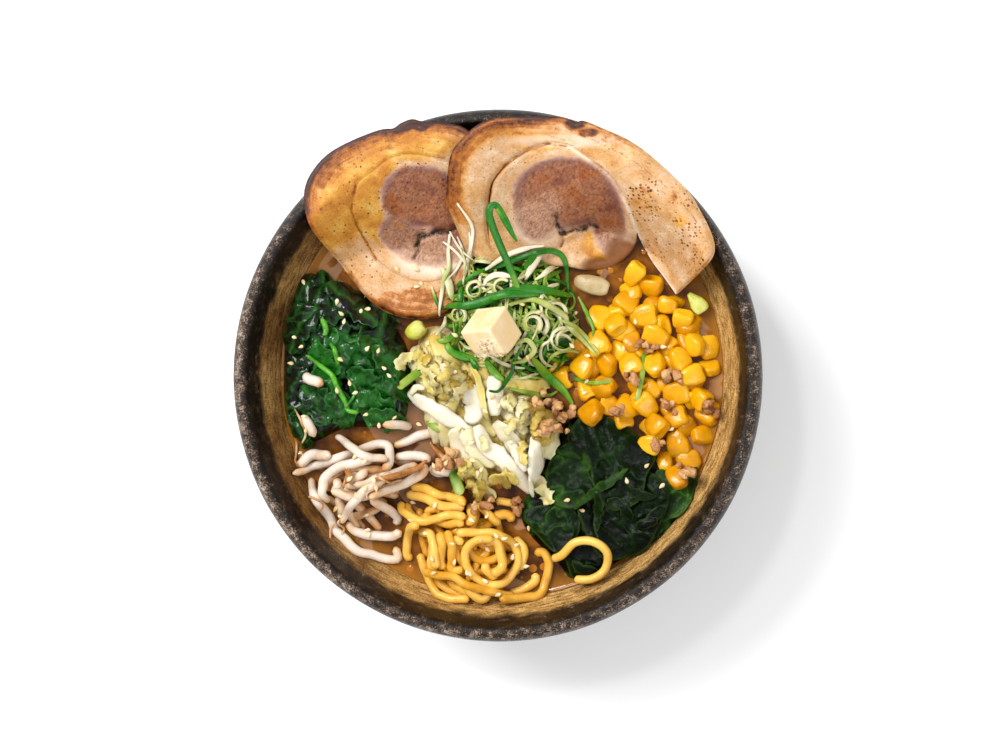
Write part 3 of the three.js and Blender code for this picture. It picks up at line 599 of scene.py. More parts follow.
def band(inner, outer, closed, across=34, spacing=0.7):
    """The plan of a rolled layer between two edges: points by row across and by column along, and
    their distances to the inner and to the outer edge."""
    inner, outer = spline(inner, 0.5, closed), spline(outer, 0.5, closed)
    t = np.linspace(0, 1, int(run_along(outer)[-1] / spacing), endpoint=not closed)
    a, b = (resampled(edge, t * run_along(edge)[-1]) for edge in (inner, outer))
    s = (1 - np.cos(np.pi * np.linspace(0, 1, across)))[:, None] / 2
    plan = a[None] + (b - a)[None] * s[..., None]
    width = np.linalg.norm(b - a, axis=1)[None]
    return plan, s * width, (1 - s) * width


def solid(upper, lower, closed, filled, attributes):
    """A closed solid between an upper and a lower grid of points, closed round along the columns or
    not. Where it is filled, its first row is a face of its own."""
    rows, columns = upper.shape[:2]
    under, last, end = rows * columns, (rows - 1) * columns, columns - 1
    faces = [f[::-1] for f in quads(rows, columns, closed)] + quads(rows, columns, closed, start=under)
    for j in range(columns if closed else end):
        k = (j + 1) % columns
        faces.append([last + k, last + j, last + j + under, last + k + under])
        if not filled:
            faces.append([j, k, k + under, j + under])
    if filled:
        faces += [list(range(columns)), list(range(under, under + columns))[::-1]]
    if not closed:
        for a in range(0, last, columns):
            b = a + columns
            faces.append([b, a, a + under, b + under])
            faces.append([a + end, b + end, b + end + under, a + end + under])
    if np.cross(np.gradient(upper, axis=0), np.gradient(upper, axis=1))[..., 2].mean() < 0:
        faces = [f[::-1] for f in faces]
    doubled = {key: np.tile(np.ravel(values), 2) for key, values in attributes.items()}
    return np.vstack([upper.reshape(-1, 3), lower.reshape(-1, 3)]), faces, doubled


def slab(plan, top, bottom, closed, filled, attributes):
    """A closed solid between two heights over one grid of plan points."""
    return solid(np.dstack([plan, top]), np.dstack([plan, bottom]), closed, filled, attributes)


def disc(outline, centre, rings=34, spacing=0.8):
    """The plan of a filled shape, as rings from its centre (almost) to its outline, with each point's
    distance to the outline and each ring's share of the way out."""
    edge = spline(outline, spacing, closed=True)[:-1]
    out = np.linspace(0.02, 1, rings)[:, None] ** 0.85
    plan = np.asarray(centre)[None, None] + (edge - centre)[None] * out[..., None]
    reach = np.linalg.norm(edge - centre, axis=1)[None]
    return plan, (1 - out) * reach, out


def level(x, y):
    """Neither raised nor sunk anywhere."""
    return 0 * x


def slice_of_pork(name, material, thickness, roll, layer, marks, seam, lift=level, sink=level):
    """One slice: a lean heart rolled inside a layer of fat. roll is the outline and the centre of the
    heart, and layer the inner and outer edge of the fat and whether it goes all round. marks gives
    its masks, and seam is how deep the seam between the two is. lift and sink move it up and down
    by place."""
    parts = []

    def shape(plan, edge, inner, closed, filled, raised, rim):
        x, y = plan[..., 0], plan[..., 1]
        under = np.maximum(pork_underside(x, y) + lift(x, y) - sink(x, y), BROTH_LEVEL + AIR)
        waves = 0.55 * uneven(x, y, 15, 2) + 0.3 * uneven(x, y, 5, 5) + 0.1 * uneven(x, y, 1.7, 6, 2)
        masks = marks(x, y)
        rounding = rim * (1 - smooth(edge / (1.3 * rim))) ** 1.5
        rounding = np.maximum(rounding, seam * (1 - smooth(inner / 1.4)))
        dent = 1.8 * masks["crack"] + 0.5 * masks["line"] + 0.3 * smooth((masks["lean"] - 0.4) / 0.3)
        top = under + thickness + raised + waves - rounding - dent - 0.35 * sink(x, y)
        top = np.maximum(top - 2.2 * masks["soaked"], BROTH_LEVEL + 0.1)
        bottom = np.minimum(under + 0.9 * (1 - smooth(edge / 1.6)), top - 0.3)
        masks["edge"] = edge
        parts.append(slab(plan, top, bottom, closed, filled, masks))

    plan, edge, _ = disc(*roll)
    shape(plan, edge, edge, True, True, -0.05, 0.2)
    plan, from_inner, from_outer = band(*layer)
    shape(plan, from_outer, from_inner, layer[2], False, 0.0, 2.0)
    node = name.replace("pork", "pork_slice")
    show(name, mesh_from(name, *joined(parts)), material, "pork", [node])


def depth_in(x, y, *spots):
    """How deep each point is in a union of ellipses (x, y, rx, ry): 0.5 at the border, 1 well inside
    it and 0 well outside."""
    reach = 3.0  # mm from the border to 1 or 0
    out = np.full(np.shape(x), FAR)
    for cx, cy, rx, ry in spots:
        away = (np.hypot((x - cx) / rx, (y - cy) / ry) - 1) * min(rx, ry)
        # a smooth union, so that the ellipses flow into each other
        h = np.clip(0.5 + 0.5 * (out - away) / reach, 0, 1)
        out = lerp(out, away, h) - reach * h * (1 - h) if out.max() < FAR / 2 else away
    return np.clip(0.5 - out / (2 * reach), 0, 1)


def markers(x, y):
    """At these plan points, what marks a line through x, y, x, y and so on, and what marks ellipses."""
    def line(width, *plan):
        return bump(distance_to(pairs(*plan), x, y), width)

    return line, functools.partial(blobs, x, y)


LEFT_OUTLINE = pairs(
    -75, 71, -72.5, 79.5, -65.5, 87.5, -55.5, 93, -44.5, 97, -39, 97.5, -36, 99.5, -31.5, 101, -27, 100,
    -16, 99, -9, 96, -5, 88, -5, 70, -7, 56, -9.5, 45.5, -13, 33.5, -18, 26.5, -28, 23, -41, 24, -51, 29,
    -60, 39, -67, 49, -73, 60)
LEFT_GROOVE = pairs(
    -56, 61, -56.5, 67, -54, 75, -46.5, 81, -41.5, 85, -34.5, 87, -26, 86.5, -14, 82, -9, 72, -9, 60,
    -12, 49, -19, 41, -27, 38, -34.5, 38.5, -42, 41.5, -50, 47.5, -53.5, 54)
RIGHT_OUTER = pairs(
    -6, 45.5, -12, 51, -15.5, 59.5, -18.5, 68.5, -18, 73.5, -17, 80, -14.5, 88, -6, 96.5, 2.5, 100.5,
    15.5, 101.5, 28, 101, 33, 99, 36, 99.5, 43.5, 96.5, 54, 91.5, 63.5, 84.5, 76, 72.5, 82, 63, 86.5, 53,
    86.5, 46.5, 82, 41, 76, 36, 72.5, 33)
RIGHT_INNER = pairs(
    3, 46, -2, 52, -3, 60, -2, 68, 0, 76, 5.5, 82.5, 13, 87.5, 22, 90.5, 30, 89.5, 38, 84, 46, 77.5,
    50.5, 71, 54.5, 62.5, 56.5, 56, 61.5, 46.5, 67, 39, 71.5, 32.5)
RIGHT_ROLL = pairs(
    -2.5, 60, -1.5, 68, 0.5, 76, 6, 83, 13, 88, 22, 91, 31, 90, 40, 84, 48, 77, 52, 70, 55.5, 62,
    55.5, 54, 51, 47, 44, 43.5, 36, 42.5, 27, 44, 13, 44.5, 3, 45, -2, 51)


def left_marks(x, y):
    line, spots = markers(x, y)
    rim = distance_to(LEFT_OUTLINE + LEFT_OUTLINE[:1], x, y)
    upper_left = smooth((y - 0.5 * x - 82) / 26)
    dotted = (-54, 75, -56.8, 66.6, -56.1, 61, -53.3, 54, -49.9, 47)
    return {
        "lean": depth_in(
            x, y, (-29, 71, 15.5, 11.5), (-39.5, 57, 7.5, 7), (-27, 51, 12.5, 6.5), (-17, 62, 9, 9)),
        "pale": np.maximum(spots((-27, 48.5, 15, 8.5)), 0.5 * spots((-39.5, 57, 7, 6))),
        "stain": 0.12 + spots(
            (-64, 68, 14, 19), (-53, 80, 16, 13), (-47, 66, 10, 14), (-34, 91, 20, 6), (-39, 64, 5, 4))
        # the pale streak along this ridge, where the stain is taken away, is a painted highlight
        - 0.6 * line(1.2, -71, 66, -69.5, 71.6, -64, 79.9, -57.1, 84.7, -48.1, 88.8)
        - 0.6 * spots((-55, 47, 11, 9)),
        "toast": (0.4 + 0.75 * upper_left) * np.exp(-rim / (0.7 + 5.5 * upper_left))
        # the wide patch at -33, 28 darkens the low, flat end of the slice: partly a toasted tint, partly
        # painted shade
        + 0.58 * spots((-33, 28, 22, 8)) + 0.42 * spots((-14, 36, 5, 10)) + 0.2 * spots((-66, 81, 8, 7))
        + 0.5 * spots((-35.5, 98.5, 5, 3), (-28, 98.5, 4, 2.5)) + 0.5 * line(1.0, *dotted)
        + 0.35 * spots((-59, 40, 3, 4), (-38.5, 60.5, 2, 1.6)),
        "line": np.maximum.reduce([
            0.6 * line(0.45, -46.4, 80.5, -41.5, 85.3, -34.5, 87.4, -26.2, 86.7, -18.6, 85.3),
            0.5 * line(0.4, -52, 84, -44, 89, -33, 91.5, -20, 91), 0.75 * line(0.8, *dotted),
            0.5 * line(0.5, -47, 44, -40, 39, -32, 36.5, -24, 37, -17, 40)]),
        "crack": np.maximum.reduce([
            line(1.1, -33.2, 52.5, -31.5, 56, -27.5, 56.6, -24, 58.3, -20, 57.6, -15.5, 60),
            0.8 * line(0.7, -34.5, 47.5, -32.6, 50.5, -33, 53.5),
            0.9 * spots((-30.5, 56.6, 2.2, 1.8), (-22, 58, 2.6, 1.5))]),
        "pepper": 0.16 + 0.18 * spots((-58, 62, 14, 26), (-30, 70, 18, 16)),
        "soaked": 0 * x,
    }


def right_marks(x, y):
    line, spots = markers(x, y)
    rim = distance_to(RIGHT_OUTER, x, y)
    groove = distance_to(RIGHT_INNER[2:10], x, y)
    upper_left = smooth((y - 0.9 * x - 66) / 22)
    outer_band = smooth((rim - 0.5) / 2) * (1 - smooth((rim - 6) / 3)) * smooth((20 - x) / 12)
    return {
        "lean": depth_in(x, y, (28, 72, 19.5, 13), (45, 62, 6.5, 12), (16.5, 63, 8, 9)),
        "pale": np.maximum.reduce([
            0.85 * spots((16, 61, 9, 9)), 0.7 * spots((47, 54, 8, 5)),
            # the last of these, a thin cream line along the inner edge of the band, is a painted highlight
            0.6 * spots((22, 68, 5, 5), (28, 91.5, 22, 2.5)), bump(distance_to(RIGHT_INNER[8:], x, y), 0.8)]),
        "stain": 0.12 + 0.9 * spots((19, 91.5, 12, 3.5), (42, 53, 8, 7), (73.9, 59.9, 2.4, 2.2))
        + 0.55 * outer_band * (y > 60) + 0.3 * spots((0, 52, 8, 8), (46, 86, 14, 5)),
        "toast": (0.3 + 0.65 * upper_left) * np.exp(-rim / (0.7 + 2.4 * upper_left))
        + 0.42 * outer_band * (y > 60) + 0.55 * spots((33, 98, 4, 2.5), (38, 94.5, 4, 1.6))
        # along the far edge, where y is above 84, the fat is darkened as painted shade
        + 0.42 * bump(rim - 2, 5) * smooth((y - 84) / 8) * smooth((x - 8) / 10)
        + 0.45 * bump(groove, 0.9) * (x < 26) + 0.5 * spots((70.8, 68.8, 2, 1.6))
        + 0.3 * spots((79, 44, 5, 6), (60, 68, 6, 6), (62, 50, 5, 5)),
        "line": np.maximum.reduce([
            0.75 * line(0.6, 36, 93.5, 44, 90, 54, 84.5, 64, 77, 74, 68, 81, 58),
            0.5 * line(0.6, 28, 89.8, 38.7, 89.4, 49.4, 84.6, 60.1, 76.8, 67.2, 71.2, 71.6, 64.5, 71.6, 57.5),
            0.6 * line(0.8, -13.5, 76, -12, 83, -4.7, 90.6, 4.5, 94.2, 18.7, 94.8, 28.5, 92),
            0.9 * bump(groove, 0.7) * (x < 30)]),
        "crack": np.maximum.reduce([
            line(1.0, 24, 63.5, 24.6, 59.5, 27.5, 57, 31, 58.6, 34, 58.2, 37, 60.4, 40, 59.6),
            0.7 * line(0.6, 25.5, 57.5, 26.5, 54.5, 25.4, 52),
            0.9 * spots((26.6, 57.2, 2, 1.5), (35, 59.2, 1.8, 1.4))]),
        "pepper": 0.18 + 0.32 * spots((60, 69, 8, 9), (62, 50, 7, 6), (76, 60, 6, 12), (81, 45, 5, 5)),
        "soaked": spots((51, 47, 8, 8), (42, 43.5, 8, 4)),
    }


def make_pork(look):
    material = braised_pork(look)
    thickness = look.thickness / MM
    # this outline starts one point earlier, so that it runs beside the groove
    left_outer = LEFT_OUTLINE[-1:] + LEFT_OUTLINE[:-1]
    slice_of_pork("pork_left", material, thickness, (LEFT_GROOVE, (-32, 62)),
        (LEFT_GROOVE, left_outer, True), left_marks, 0.35)
    # the right slice lies on the left one, and dips into the broth near the corn
    slice_of_pork("pork_right", material, thickness, (RIGHT_ROLL, (27, 67)),
        (RIGHT_INNER, RIGHT_OUTER, False), right_marks, 0.9,
        lift=lambda x, y: 8.0 * (1 - smooth((x + 7) / 22)),
        sink=lambda x, y: 11 * bump(np.hypot(x - 44, y - 44), 15))


# ---------- butter
def butter_finish(look):
    """Salted butter cut cold from a block: smooth waxy faces that let a little light in, and a
    crumbly lower edge."""
    made, node, mm = new_material("cut_butter")
    torn, = masks_of(node, "torn")
    waxy = node("TexNoise", {"Vector": mm, "Scale": 0.16, "Detail": 2.0})
    crumb = node("TexNoise", {"Vector": mm, "Scale": 0.8, "Detail": 5.0, "Roughness": 0.7})
    cut = node("ValToRGB", {"Fac": waxy}, stops=[(0.3, "#efd09a"), (0.5, look.butter), (0.7, "#f6e2bc")])
    # water and milk solids show amber in the pores of the torn edge
    pores = node("ValToRGB", {"Fac": crumb}, stops=[(0.38, "#b9772a"), (0.44, "#e3b872"), (0.52, "#fbeed2")])
    colour = covered(node, cut, pores, torn)
    height = node("Math", {0: crumb, 1: torn}, operation="MULTIPLY")
    surface(node, colour, height, 0.6, Roughness=0.42, IOR=1.46, glow=(0.3, (3, 2.1, 1.05)))
    return made


BUTTER_CENTRE = np.array((-0.3, 16.6, 85))
BUTTER_TURN = np.array(((0.835, 0.06, 0.547), (0.375, 0.665, -0.646), (-0.402, 0.745, 0.532)))
BUTTER_ROUNDING = 0.9  # radius of its edges


def make_butter(look):
    # each face is a grid pushed out to a cube whose edges are rounded
    steps, parts = 25, []
    u, v = np.meshgrid(np.linspace(-1, 1, steps), np.linspace(-1, 1, steps), indexing="ij")
    for axis in range(3):
        for side in (-1, 1):
            face = np.empty((steps, steps, 3))
            face[..., axis] = side
            face[..., (axis + 1) % 3], face[..., (axis + 2) % 3] = u, v
            grid = quads(steps, steps)
            parts.append((face.reshape(-1, 3), grid if side > 0 else [f[::-1] for f in grid], {}))
    points, faces, _ = joined(parts)
    half = look.butter_edge / MM / 2
    inset = np.clip(points * half, BUTTER_ROUNDING - half, half - BUTTER_ROUNDING)
    points = (inset + BUTTER_ROUNDING * unit(points * half - inset)) @ BUTTER_TURN + BUTTER_CENTRE
    # the lower front edge has crumbled away in small bites
    low = smooth((BUTTER_CENTRE[1] - 6.5 - points[:, 1]) / 3.5)
    rough = np.abs(field(points, 2.6, 4, 4))
    points += unit(BUTTER_CENTRE - points) * (0.12 * rough + low * (0.6 + 1.5 * rough))[:, None]
    torn = np.maximum(low, blobs(points[:, 0], points[:, 1], (-1.5, 11.5, 4.0, 2.6)))
    mesh = mesh_from("butter", points, faces, {"torn": torn})
    weld(mesh, 0.02)
    show("butter_block", mesh, butter_finish(look), "butter", ["butter_cube"])


def weld(mesh, distance):
    """Merges doubles within this distance in mm, and turns every face outwards."""
    edit = bmesh.new()
    edit.from_mesh(mesh)
    bmesh.ops.remove_doubles(edit, verts=edit.verts, dist=distance * MM)
    bmesh.ops.recalc_face_normals(edit, faces=edit.faces)
    edit.to_mesh(mesh)
    edit.free()


# ---------- laying one thing on another
CELL = 0.5
BOWL_REACH = 106  # half the width of the bowl


class Pile:
    """How high the food stands so far, on a grid of half-millimetre cells over the bowl."""

    def __init__(self):
        side = np.arange(-BOWL_REACH, BOWL_REACH + CELL, CELL)
        x, y = np.meshgrid(side, side, indexing="ij")
        radius = np.hypot(x, y)
        wall = np.interp(radius, INSIDE_WALL[:, 0], INSIDE_WALL[:, 1])
        self.height = np.where(radius < WALL_TOP, np.maximum(wall, BROTH_LEVEL), RIM_HEIGHT)
        for name in FOOD:
            self.cover_mesh(bpy.data.objects[name].data)

    def cover(self, points):
        """Raises the pile to these points."""
        np.maximum.at(self.height, self.cells(points[:, 0], points[:, 1]), points[:, 2])

    def cover_mesh(self, mesh):
        corners = np.empty(len(mesh.vertices) * 3, np.float32)
        mesh.vertices.foreach_get("co", corners)
        middles = np.empty(len(mesh.polygons) * 3, np.float32)
        mesh.polygons.foreach_get("center", middles)
        self.cover(corners.reshape(-1, 3) / MM)
        self.cover(middles.reshape(-1, 3) / MM)

    def cover_strand(self, path, radius, flat=1.0):
        turn = np.linspace(0, FULL_TURN, 8, endpoint=False)
        for reach in (0, 0.5, 0.85):
            ring = reach * np.column_stack([np.cos(turn), np.sin(turn)])
            top = flat * math.sqrt(1 - reach ** 2)
            for dx, dy in ring[: 1 if reach == 0 else 8]:
                self.cover(path + np.array([dx, dy, top]) * radius)

    def cover_rings(self, grid):
        for rings in (grid, (grid[:-1] + grid[1:]) / 2):
            self.cover(rings.reshape(-1, 3))
            self.cover(((rings + np.roll(rings, 1, axis=1)) / 2).reshape(-1, 3))

    def cells(self, *places):
        last = len(self.height) - 1
        return tuple(np.clip(np.rint((p + BOWL_REACH) / CELL), 0, last).astype(int) for p in places)

    def rest(self, x, y, radius):
        """The height of the middle of a ball of this radius that lies at each point."""
        best = self.height[self.cells(x, y)] + radius
        steps = int(radius / CELL)
        for dx in range(-steps, steps + 1):
            for dy in range(-steps, steps + 1):
                left = radius ** 2 - (dx * dx + dy * dy) * CELL ** 2
                if left > 0:
                    beside = self.height[self.cells(x + dx * CELL, y + dy * CELL)]
                    best = np.maximum(best, beside + math.sqrt(left))
        return best


def within(outline, x, y):
    """Whether each plan point is inside an outline."""
    inside = np.zeros(np.shape(x), bool)
    for (ax, ay), (bx, by) in zip(outline, outline[1:] + outline[:1]):
        crosses = (ay > y) != (by > y)
        inside ^= crosses & (x < (bx - ax) * (y - ay) / ((by - ay) or 1e-9) + ax)
    return inside


def places_in(outline, count, random):
    """Random plan points inside an outline."""
    low, high = np.min(outline, axis=0), np.max(outline, axis=0)
    found = []
    while len(found) < count:
        x, y = low + (high - low) * random.random(2)
        if within(outline, x, y):
            found.append((x, y))
    return found


def settled(floor, bridging, evening, closed=False):
    """A line or a grid laid on these heights: it bridges hollows, and then its creases even out."""
    z = floor.copy()
    for step in range(bridging + evening):
        for axis in range(z.ndim):
            near = (np.roll(z, 1, axis) + np.roll(z, -1, axis)) / 2
            if not (closed and axis):
                ends = (slice(None),) * axis + ([0, -1],)
                near[ends] = z[ends]
            z = np.maximum(floor, near) if step < bridging else (z + near) / 2
    return z


def bowed(x, y, heading, reach, bow=0.0):
    """Three plan points through a place: a line this way and that, bowed sideways."""
    dx, dy = reach * math.cos(heading), reach * math.sin(heading)
    return [(x - dx, y - dy), (x - bow * dy, y + bow * dx), (x + dx, y + dy)]


def curled(place, heading, bend, stride):
    """Five plan points from a place on, turning by the same angle at each."""
    plan = [place]
    for _ in range(4):
        heading += bend
        place = (place[0] + stride * math.cos(heading), place[1] + stride * math.sin(heading))
        plan.append(place)
    return plan


# ---------- strands
def strand(pile, plan, radius, tone=0.5, flat=1.0, stiff=30, taper=(1, 1), twist=0.0, lift=0.0, sink=0.0,
        wiggle=0.0, seed=0.0, blunt=1.0):
    """A strand lying along plan points (x, y[, lift]) on the pile, bridging its hollows. Returns its
    points, with the thickness, tone and twist at each. Its ends are round, or cut if blunt is low."""
    path = spline([(*p, 0)[:3] for p in plan], max(0.5, 0.55 * radius))
    if wiggle:
        path[:, 0] += wiggle * field(path, 9, seed + 1, 2)
        path[:, 1] += wiggle * field(path, 9, seed + 2, 2)
    floor = pile.rest(path[:, 0], path[:, 1], radius * flat) + path[:, 2] - sink
    points = np.column_stack([path[:, :2], settled(floor, stiff, 4) + lift])
    run = run_along(points)
    t = run / run[-1]
    thickness = radius * (1 + 0.07 * field(points, 6, seed, 2))
    for ends, shape in ((t, taper[0]), (1 - t, taper[1])):
        thickness *= shape + (1 - shape) * smooth(ends / 0.35)
    ends = np.minimum(run, run[-1] - run) / np.maximum(blunt * thickness, 1e-6)
    thickness *= np.sqrt(1 - (1 - np.clip(ends, 0.06, 1)) ** 2)
    pile.cover_strand(points, radius, flat)
    tone = np.interp(t, np.linspace(0, 1, len(tone)), tone) if np.ndim(tone) else tone + 0 * t
    return {"points": points, "thickness": thickness, "tone": tone, "twist": twist * np.sin(2.2 * t) + 0 * t}


def group_of(name, sockets):
    """A geometry node group with these inputs and one mesh out: it, what adds a node, its inputs."""
    tree = bpy.data.node_groups.new(name, "GeometryNodeTree")
    for label, kind in sockets:
        tree.interface.new_socket(label, in_out="INPUT", socket_type=kind)
    tree.interface.new_socket("Mesh", in_out="OUTPUT", socket_type="NodeSocketGeometry")
    node = functools.partial(add, tree)
    return tree, node, node("NodeGroupInput").outputs


def finished(tree, node, given, made):
    """Ends a node group in plain geometry with its material."""
    real = node("RealizeInstances", {"Geometry": made})
    coated = node("SetMaterial", {"Geometry": real, "Material": given["Material"]})
    node("NodeGroupOutput", {"Mesh": coated})
    return tree


def strand_nodes():
    """Sweeps an oval section along each strand, as thick and as twisted as its points say."""
    tree, node, given = group_of("strand_sweep", [
        ("Strands", "NodeSocketGeometry"), ("Sides", "NodeSocketInt"), ("Flatness", "NodeSocketFloat"),
        ("Material", "NodeSocketMaterial")])
    thickness, twist = (node("InputNamedAttribute", {"Name": name}) for name in ("thickness", "twist"))
    curve = node("MeshToCurve", {"Mesh": given["Strands"]})
    upright = node("SetCurveNormal", {"Curve": curve}, mode="Z_UP")
    tilted = node("SetCurveTilt", {"Curve": upright, "Tilt": twist})
    circle = node("CurvePrimitiveCircle", {"Resolution": given["Sides"], "Radius": 1.0})
    oval = node("CombineXYZ", {"X": 1.0, "Y": given["Flatness"], "Z": 1.0})
    section = node("Transform", {"Geometry": circle, "Scale": oval})
    swept = node("CurveToMesh", {
        "Curve": tilted, "Profile Curve": section, "Scale": thickness, "Fill Caps": True})
    return finished(tree, node, given, swept)


def made_by(tree, mesh, values):
    """The plain mesh that a node group makes from a mesh, with its named inputs set."""
    source = bpy.data.objects.new("source", mesh)
    bpy.context.collection.objects.link(source)
    modifier = source.modifiers.new("nodes", "NODES")
    modifier.node_group = tree
    for item in tree.interface.items_tree:
        if item.item_type == "SOCKET" and item.in_out == "INPUT" and item.name in values:
            modifier[item.identifier] = values[item.name]
    evaluated = source.evaluated_get(bpy.context.evaluated_depsgraph_get())
    result = bpy.data.meshes.new_from_object(evaluated)
    bpy.data.objects.remove(source)
    return result


def sweep(strands, material, flat=1.0, sides=10):
    """One mesh of all the strands."""
    points, edges, start = [], [], 0
    for s in strands:
        count = len(s["points"])
        points.append(s["points"])
        edges += [(start + i, start + i + 1) for i in range(count - 1)]
        start += count
    attributes = {key: np.concatenate([s[key] for s in strands]) for key in ("tone", "twist")}
    attributes["thickness"] = np.concatenate([s["thickness"] for s in strands]) * MM
    mesh = mesh_from("strands", np.vstack(points), [], attributes, edges)
    tree = bpy.data.node_groups.get("strand_sweep") or strand_nodes()
    return made_by(tree, mesh, {"Sides": sides, "Flatness": flat, "Material": material})


# ---------- leaves and cores
def leaf(pile, plan, width, thickness=0.5, crumple=1.5, wave=8.0, tips=(0.15, 0.15), ragged=0.15, curl=0.0,
        lift=0.0, tone=0.5, seed=0.0, spacing=1.0, soft=6, vein=True):
    """A thin leaf along plan points, draped on the pile and crumpled. Returns a closed shell."""
    spine = spline(plan, spacing)
    t = np.linspace(0, 1, len(spine))
    side = unit(np.gradient(spine[:, :2], axis=0))[:, ::-1] * (-1, 1)
    end = np.where(t < 0.5, tips[0], tips[1])
    half = (width / 2 * (end + (1 - end) * np.sin(math.pi * np.clip(t, 0, 1)) ** 0.6))[:, None]
    v = np.linspace(-1, 1, max(5, int(width / spacing) | 1))[None]
    steps = np.column_stack([t * 40, 0 * t, 0 * t])
    left, right = (1 + ragged * 2 * field(steps, 5, seed + step)[:, None] for step in (3, 4))
    reach = np.where(v < 0, left, right) * half * v
    x, y = (spine[:, i:i + 1] + side[:, i:i + 1] * reach for i in (0, 1))
    z = settled(pile.rest(x, y, max(thickness, 0.6)), soft, 3)
    rough = uneven(x, y, wave, seed)
    ridge = 1 - 2 * np.abs(uneven(x, y, 1.4 * wave, seed + 5, 2))
    z += crumple * (0.35 + 0.6 * rough + 0.45 * ridge) + lift
    # the wrinkles pull the leaf sideways too, so that its folds lean over
    lean_x, lean_y = (0.8 * crumple * uneven(x, y, wave, seed + step, 2) for step in (6, 7))
    x, y = x + lean_x, y + lean_y
    z += curl * np.abs(v) ** 2.5
    veins = np.zeros(x.shape)
    if vein:
        # a rib along the middle, and side ribs every 5.5 mm that slant away from it
        side_rib = np.abs(((t[:, None] * len(spine) * spacing + 1.1 * np.abs(reach)) / 5.5) % 1 - 0.5) * 2
        veins = np.maximum(bump(v * half, 0.9), 0.6 * smooth((side_rib - 0.82) / 0.15))
        z -= 0.35 * veins
    grid = np.dstack([x, y, z])
    pile.cover(grid.reshape(-1, 3) + (0, 0, thickness / 2))
    border = np.minimum(1 - np.abs(v), np.minimum(t, 1 - t)[:, None] * 4)
    attributes = {"tone": tone + 0 * x, "vein": veins, "border": 1 - smooth(border / 0.25)}
    return shell(grid, thickness * (0.3 + 0.7 * smooth(border / 0.15)), attributes)


def shell(grid, thickness, attributes):
    """A closed thin shell round a grid of points."""
    normal = np.cross(np.gradient(grid, axis=0), np.gradient(grid, axis=1))
    half = unit(normal) * np.sign(normal[..., 2].mean()) * thickness[..., None] / 2
    return solid(grid + half, grid - half, False, False, attributes)


def core(pile, outline, centre, height, rough=1.5, wave=9.0, seed=0.0, tone=0.0):
    """The low dome that a heap lies on, crumpled all over. The pile is raised to it."""
    plan, _, out = disc(outline, centre, rings=30, spacing=1.1)
    x, y = plan[..., 0], plan[..., 1]
    ridge = 1 - 2 * np.abs(uneven(x, y, wave, seed))
    dome = (height - 1.6) * np.sqrt(1 - out ** 2.5) + rough * (ridge - 0.8) * (1 - out ** 3)
    bottom = BROTH_LEVEL - 0.6 + 0 * x
    top = BROTH_LEVEL + AIR + 1.6 + dome - 1.8 * smooth((out - 0.9) / 0.1)
    top = np.maximum(top, bottom + 0.3)
    pile.cover_rings(np.dstack([x, y, top]))
    masks = {"tone": tone + 0 * x, "vein": smooth((ridge - 0.75) / 0.2), "border": 0 * x}
    return slab(plan, top, bottom, True, True, masks)


def sheet(pile, outline, centre, crumple=1.2, wave=10.0, lift=0.0, tone=0.5, seed=0.0, thickness=0.6):
    """A broad thin piece with this outline, draped on the pile in crisp folds. Returns a closed shell."""
    plan, edge, _ = disc(outline, centre, rings=22, spacing=0.9)
    x, y = plan[..., 0], plan[..., 1]
    z = settled(pile.rest(x, y, 0.8), 14, 4, closed=True)
    fold = 1 - 2 * np.abs(uneven(x, y, wave, seed))
    small = uneven(x, y, wave / 3, seed + 1)
    z += crumple * (0.7 * fold ** 3 + 0.25 * small) + lift
    pile.cover_rings(np.dstack([x, y, z + thickness / 2]))
    border = 1 - smooth(edge / 1.3)
    masks = {"tone": tone + 0.25 * np.maximum(fold, 0) ** 4, "vein": 0 * x, "border": border}
    thin = thickness * (1 - 0.6 * border) / 2
    return slab(plan, z + thin, z - thin, True, True, masks)


def wet_leaf(name, colours, sheen=0.1, size=6.0, depth=0.35, pucker=1.0, vein_colour="#3f7a2a",
        edge_colour="#3f7a2a", edge=0.0, **values):
    """Wet leaf tissue: colour by tone from deep to bright, with fine cells and veins."""
    made, node, mm = new_material(name)
    tone, vein, border = masks_of(node, "tone", "vein", "border")
    cloud = node("TexNoise", {"Vector": mm, "Scale": 1 / size, "Detail": 5.0, "Roughness": 0.65})
    fine = node("TexNoise", {"Vector": mm, "Scale": 0.9, "Detail": 4.0, "Roughness": 0.65, "Distortion": 0.5})
    stops = list(zip(np.linspace(0, 1, len(colours)).tolist(), colours))
    ramp = node("ValToRGB", {"Fac": frayed(node, tone, (cloud, 0.9))}, stops=stops)
    ribbed = covered(node, ramp, vein_colour, vein, most=0.45)
    edged = covered(node, ribbed, edge_colour, border, most=edge)
    # the surface is puckered every 2 to 3 mm
    swell = node("TexNoise", {"Vector": mm, "Scale": 0.4, "Detail": 2.0, "Distortion": 0.6})
    height = node("Math", {0: swell, 1: pucker, 2: fine}, operation="MULTIPLY_ADD")
    surface(node, edged, height, depth, Roughness=sheen, IOR=1.4, **values)
    return made


# ---------- greens
SPINACH_OUTLINE = pairs(
    -80, 42, -65, 36, -54, 26, -44, 20, -38, 11, -38, -1, -38, -15, -43, -22, -53, -21, -65, -22,
    -76, -27, -84, -26, -89, -13, -89, 14, -86, 30)
WAKAME_OUTLINE = pairs(
    32, -17, 44, -20, 59, -28, 68, -37, 80, -40, 74, -58, 62, -69, 54, -72, 39, -80, 29, -82, 24, -76,
    12, -64, 9, -55, 14, -43, 21, -31, 26, -21)


# where the deep, dark leaves at the back lie
SPINACH_BACK = pairs(-84, 40, -62, 34, -46, 20, -50, 4, -84, 6)
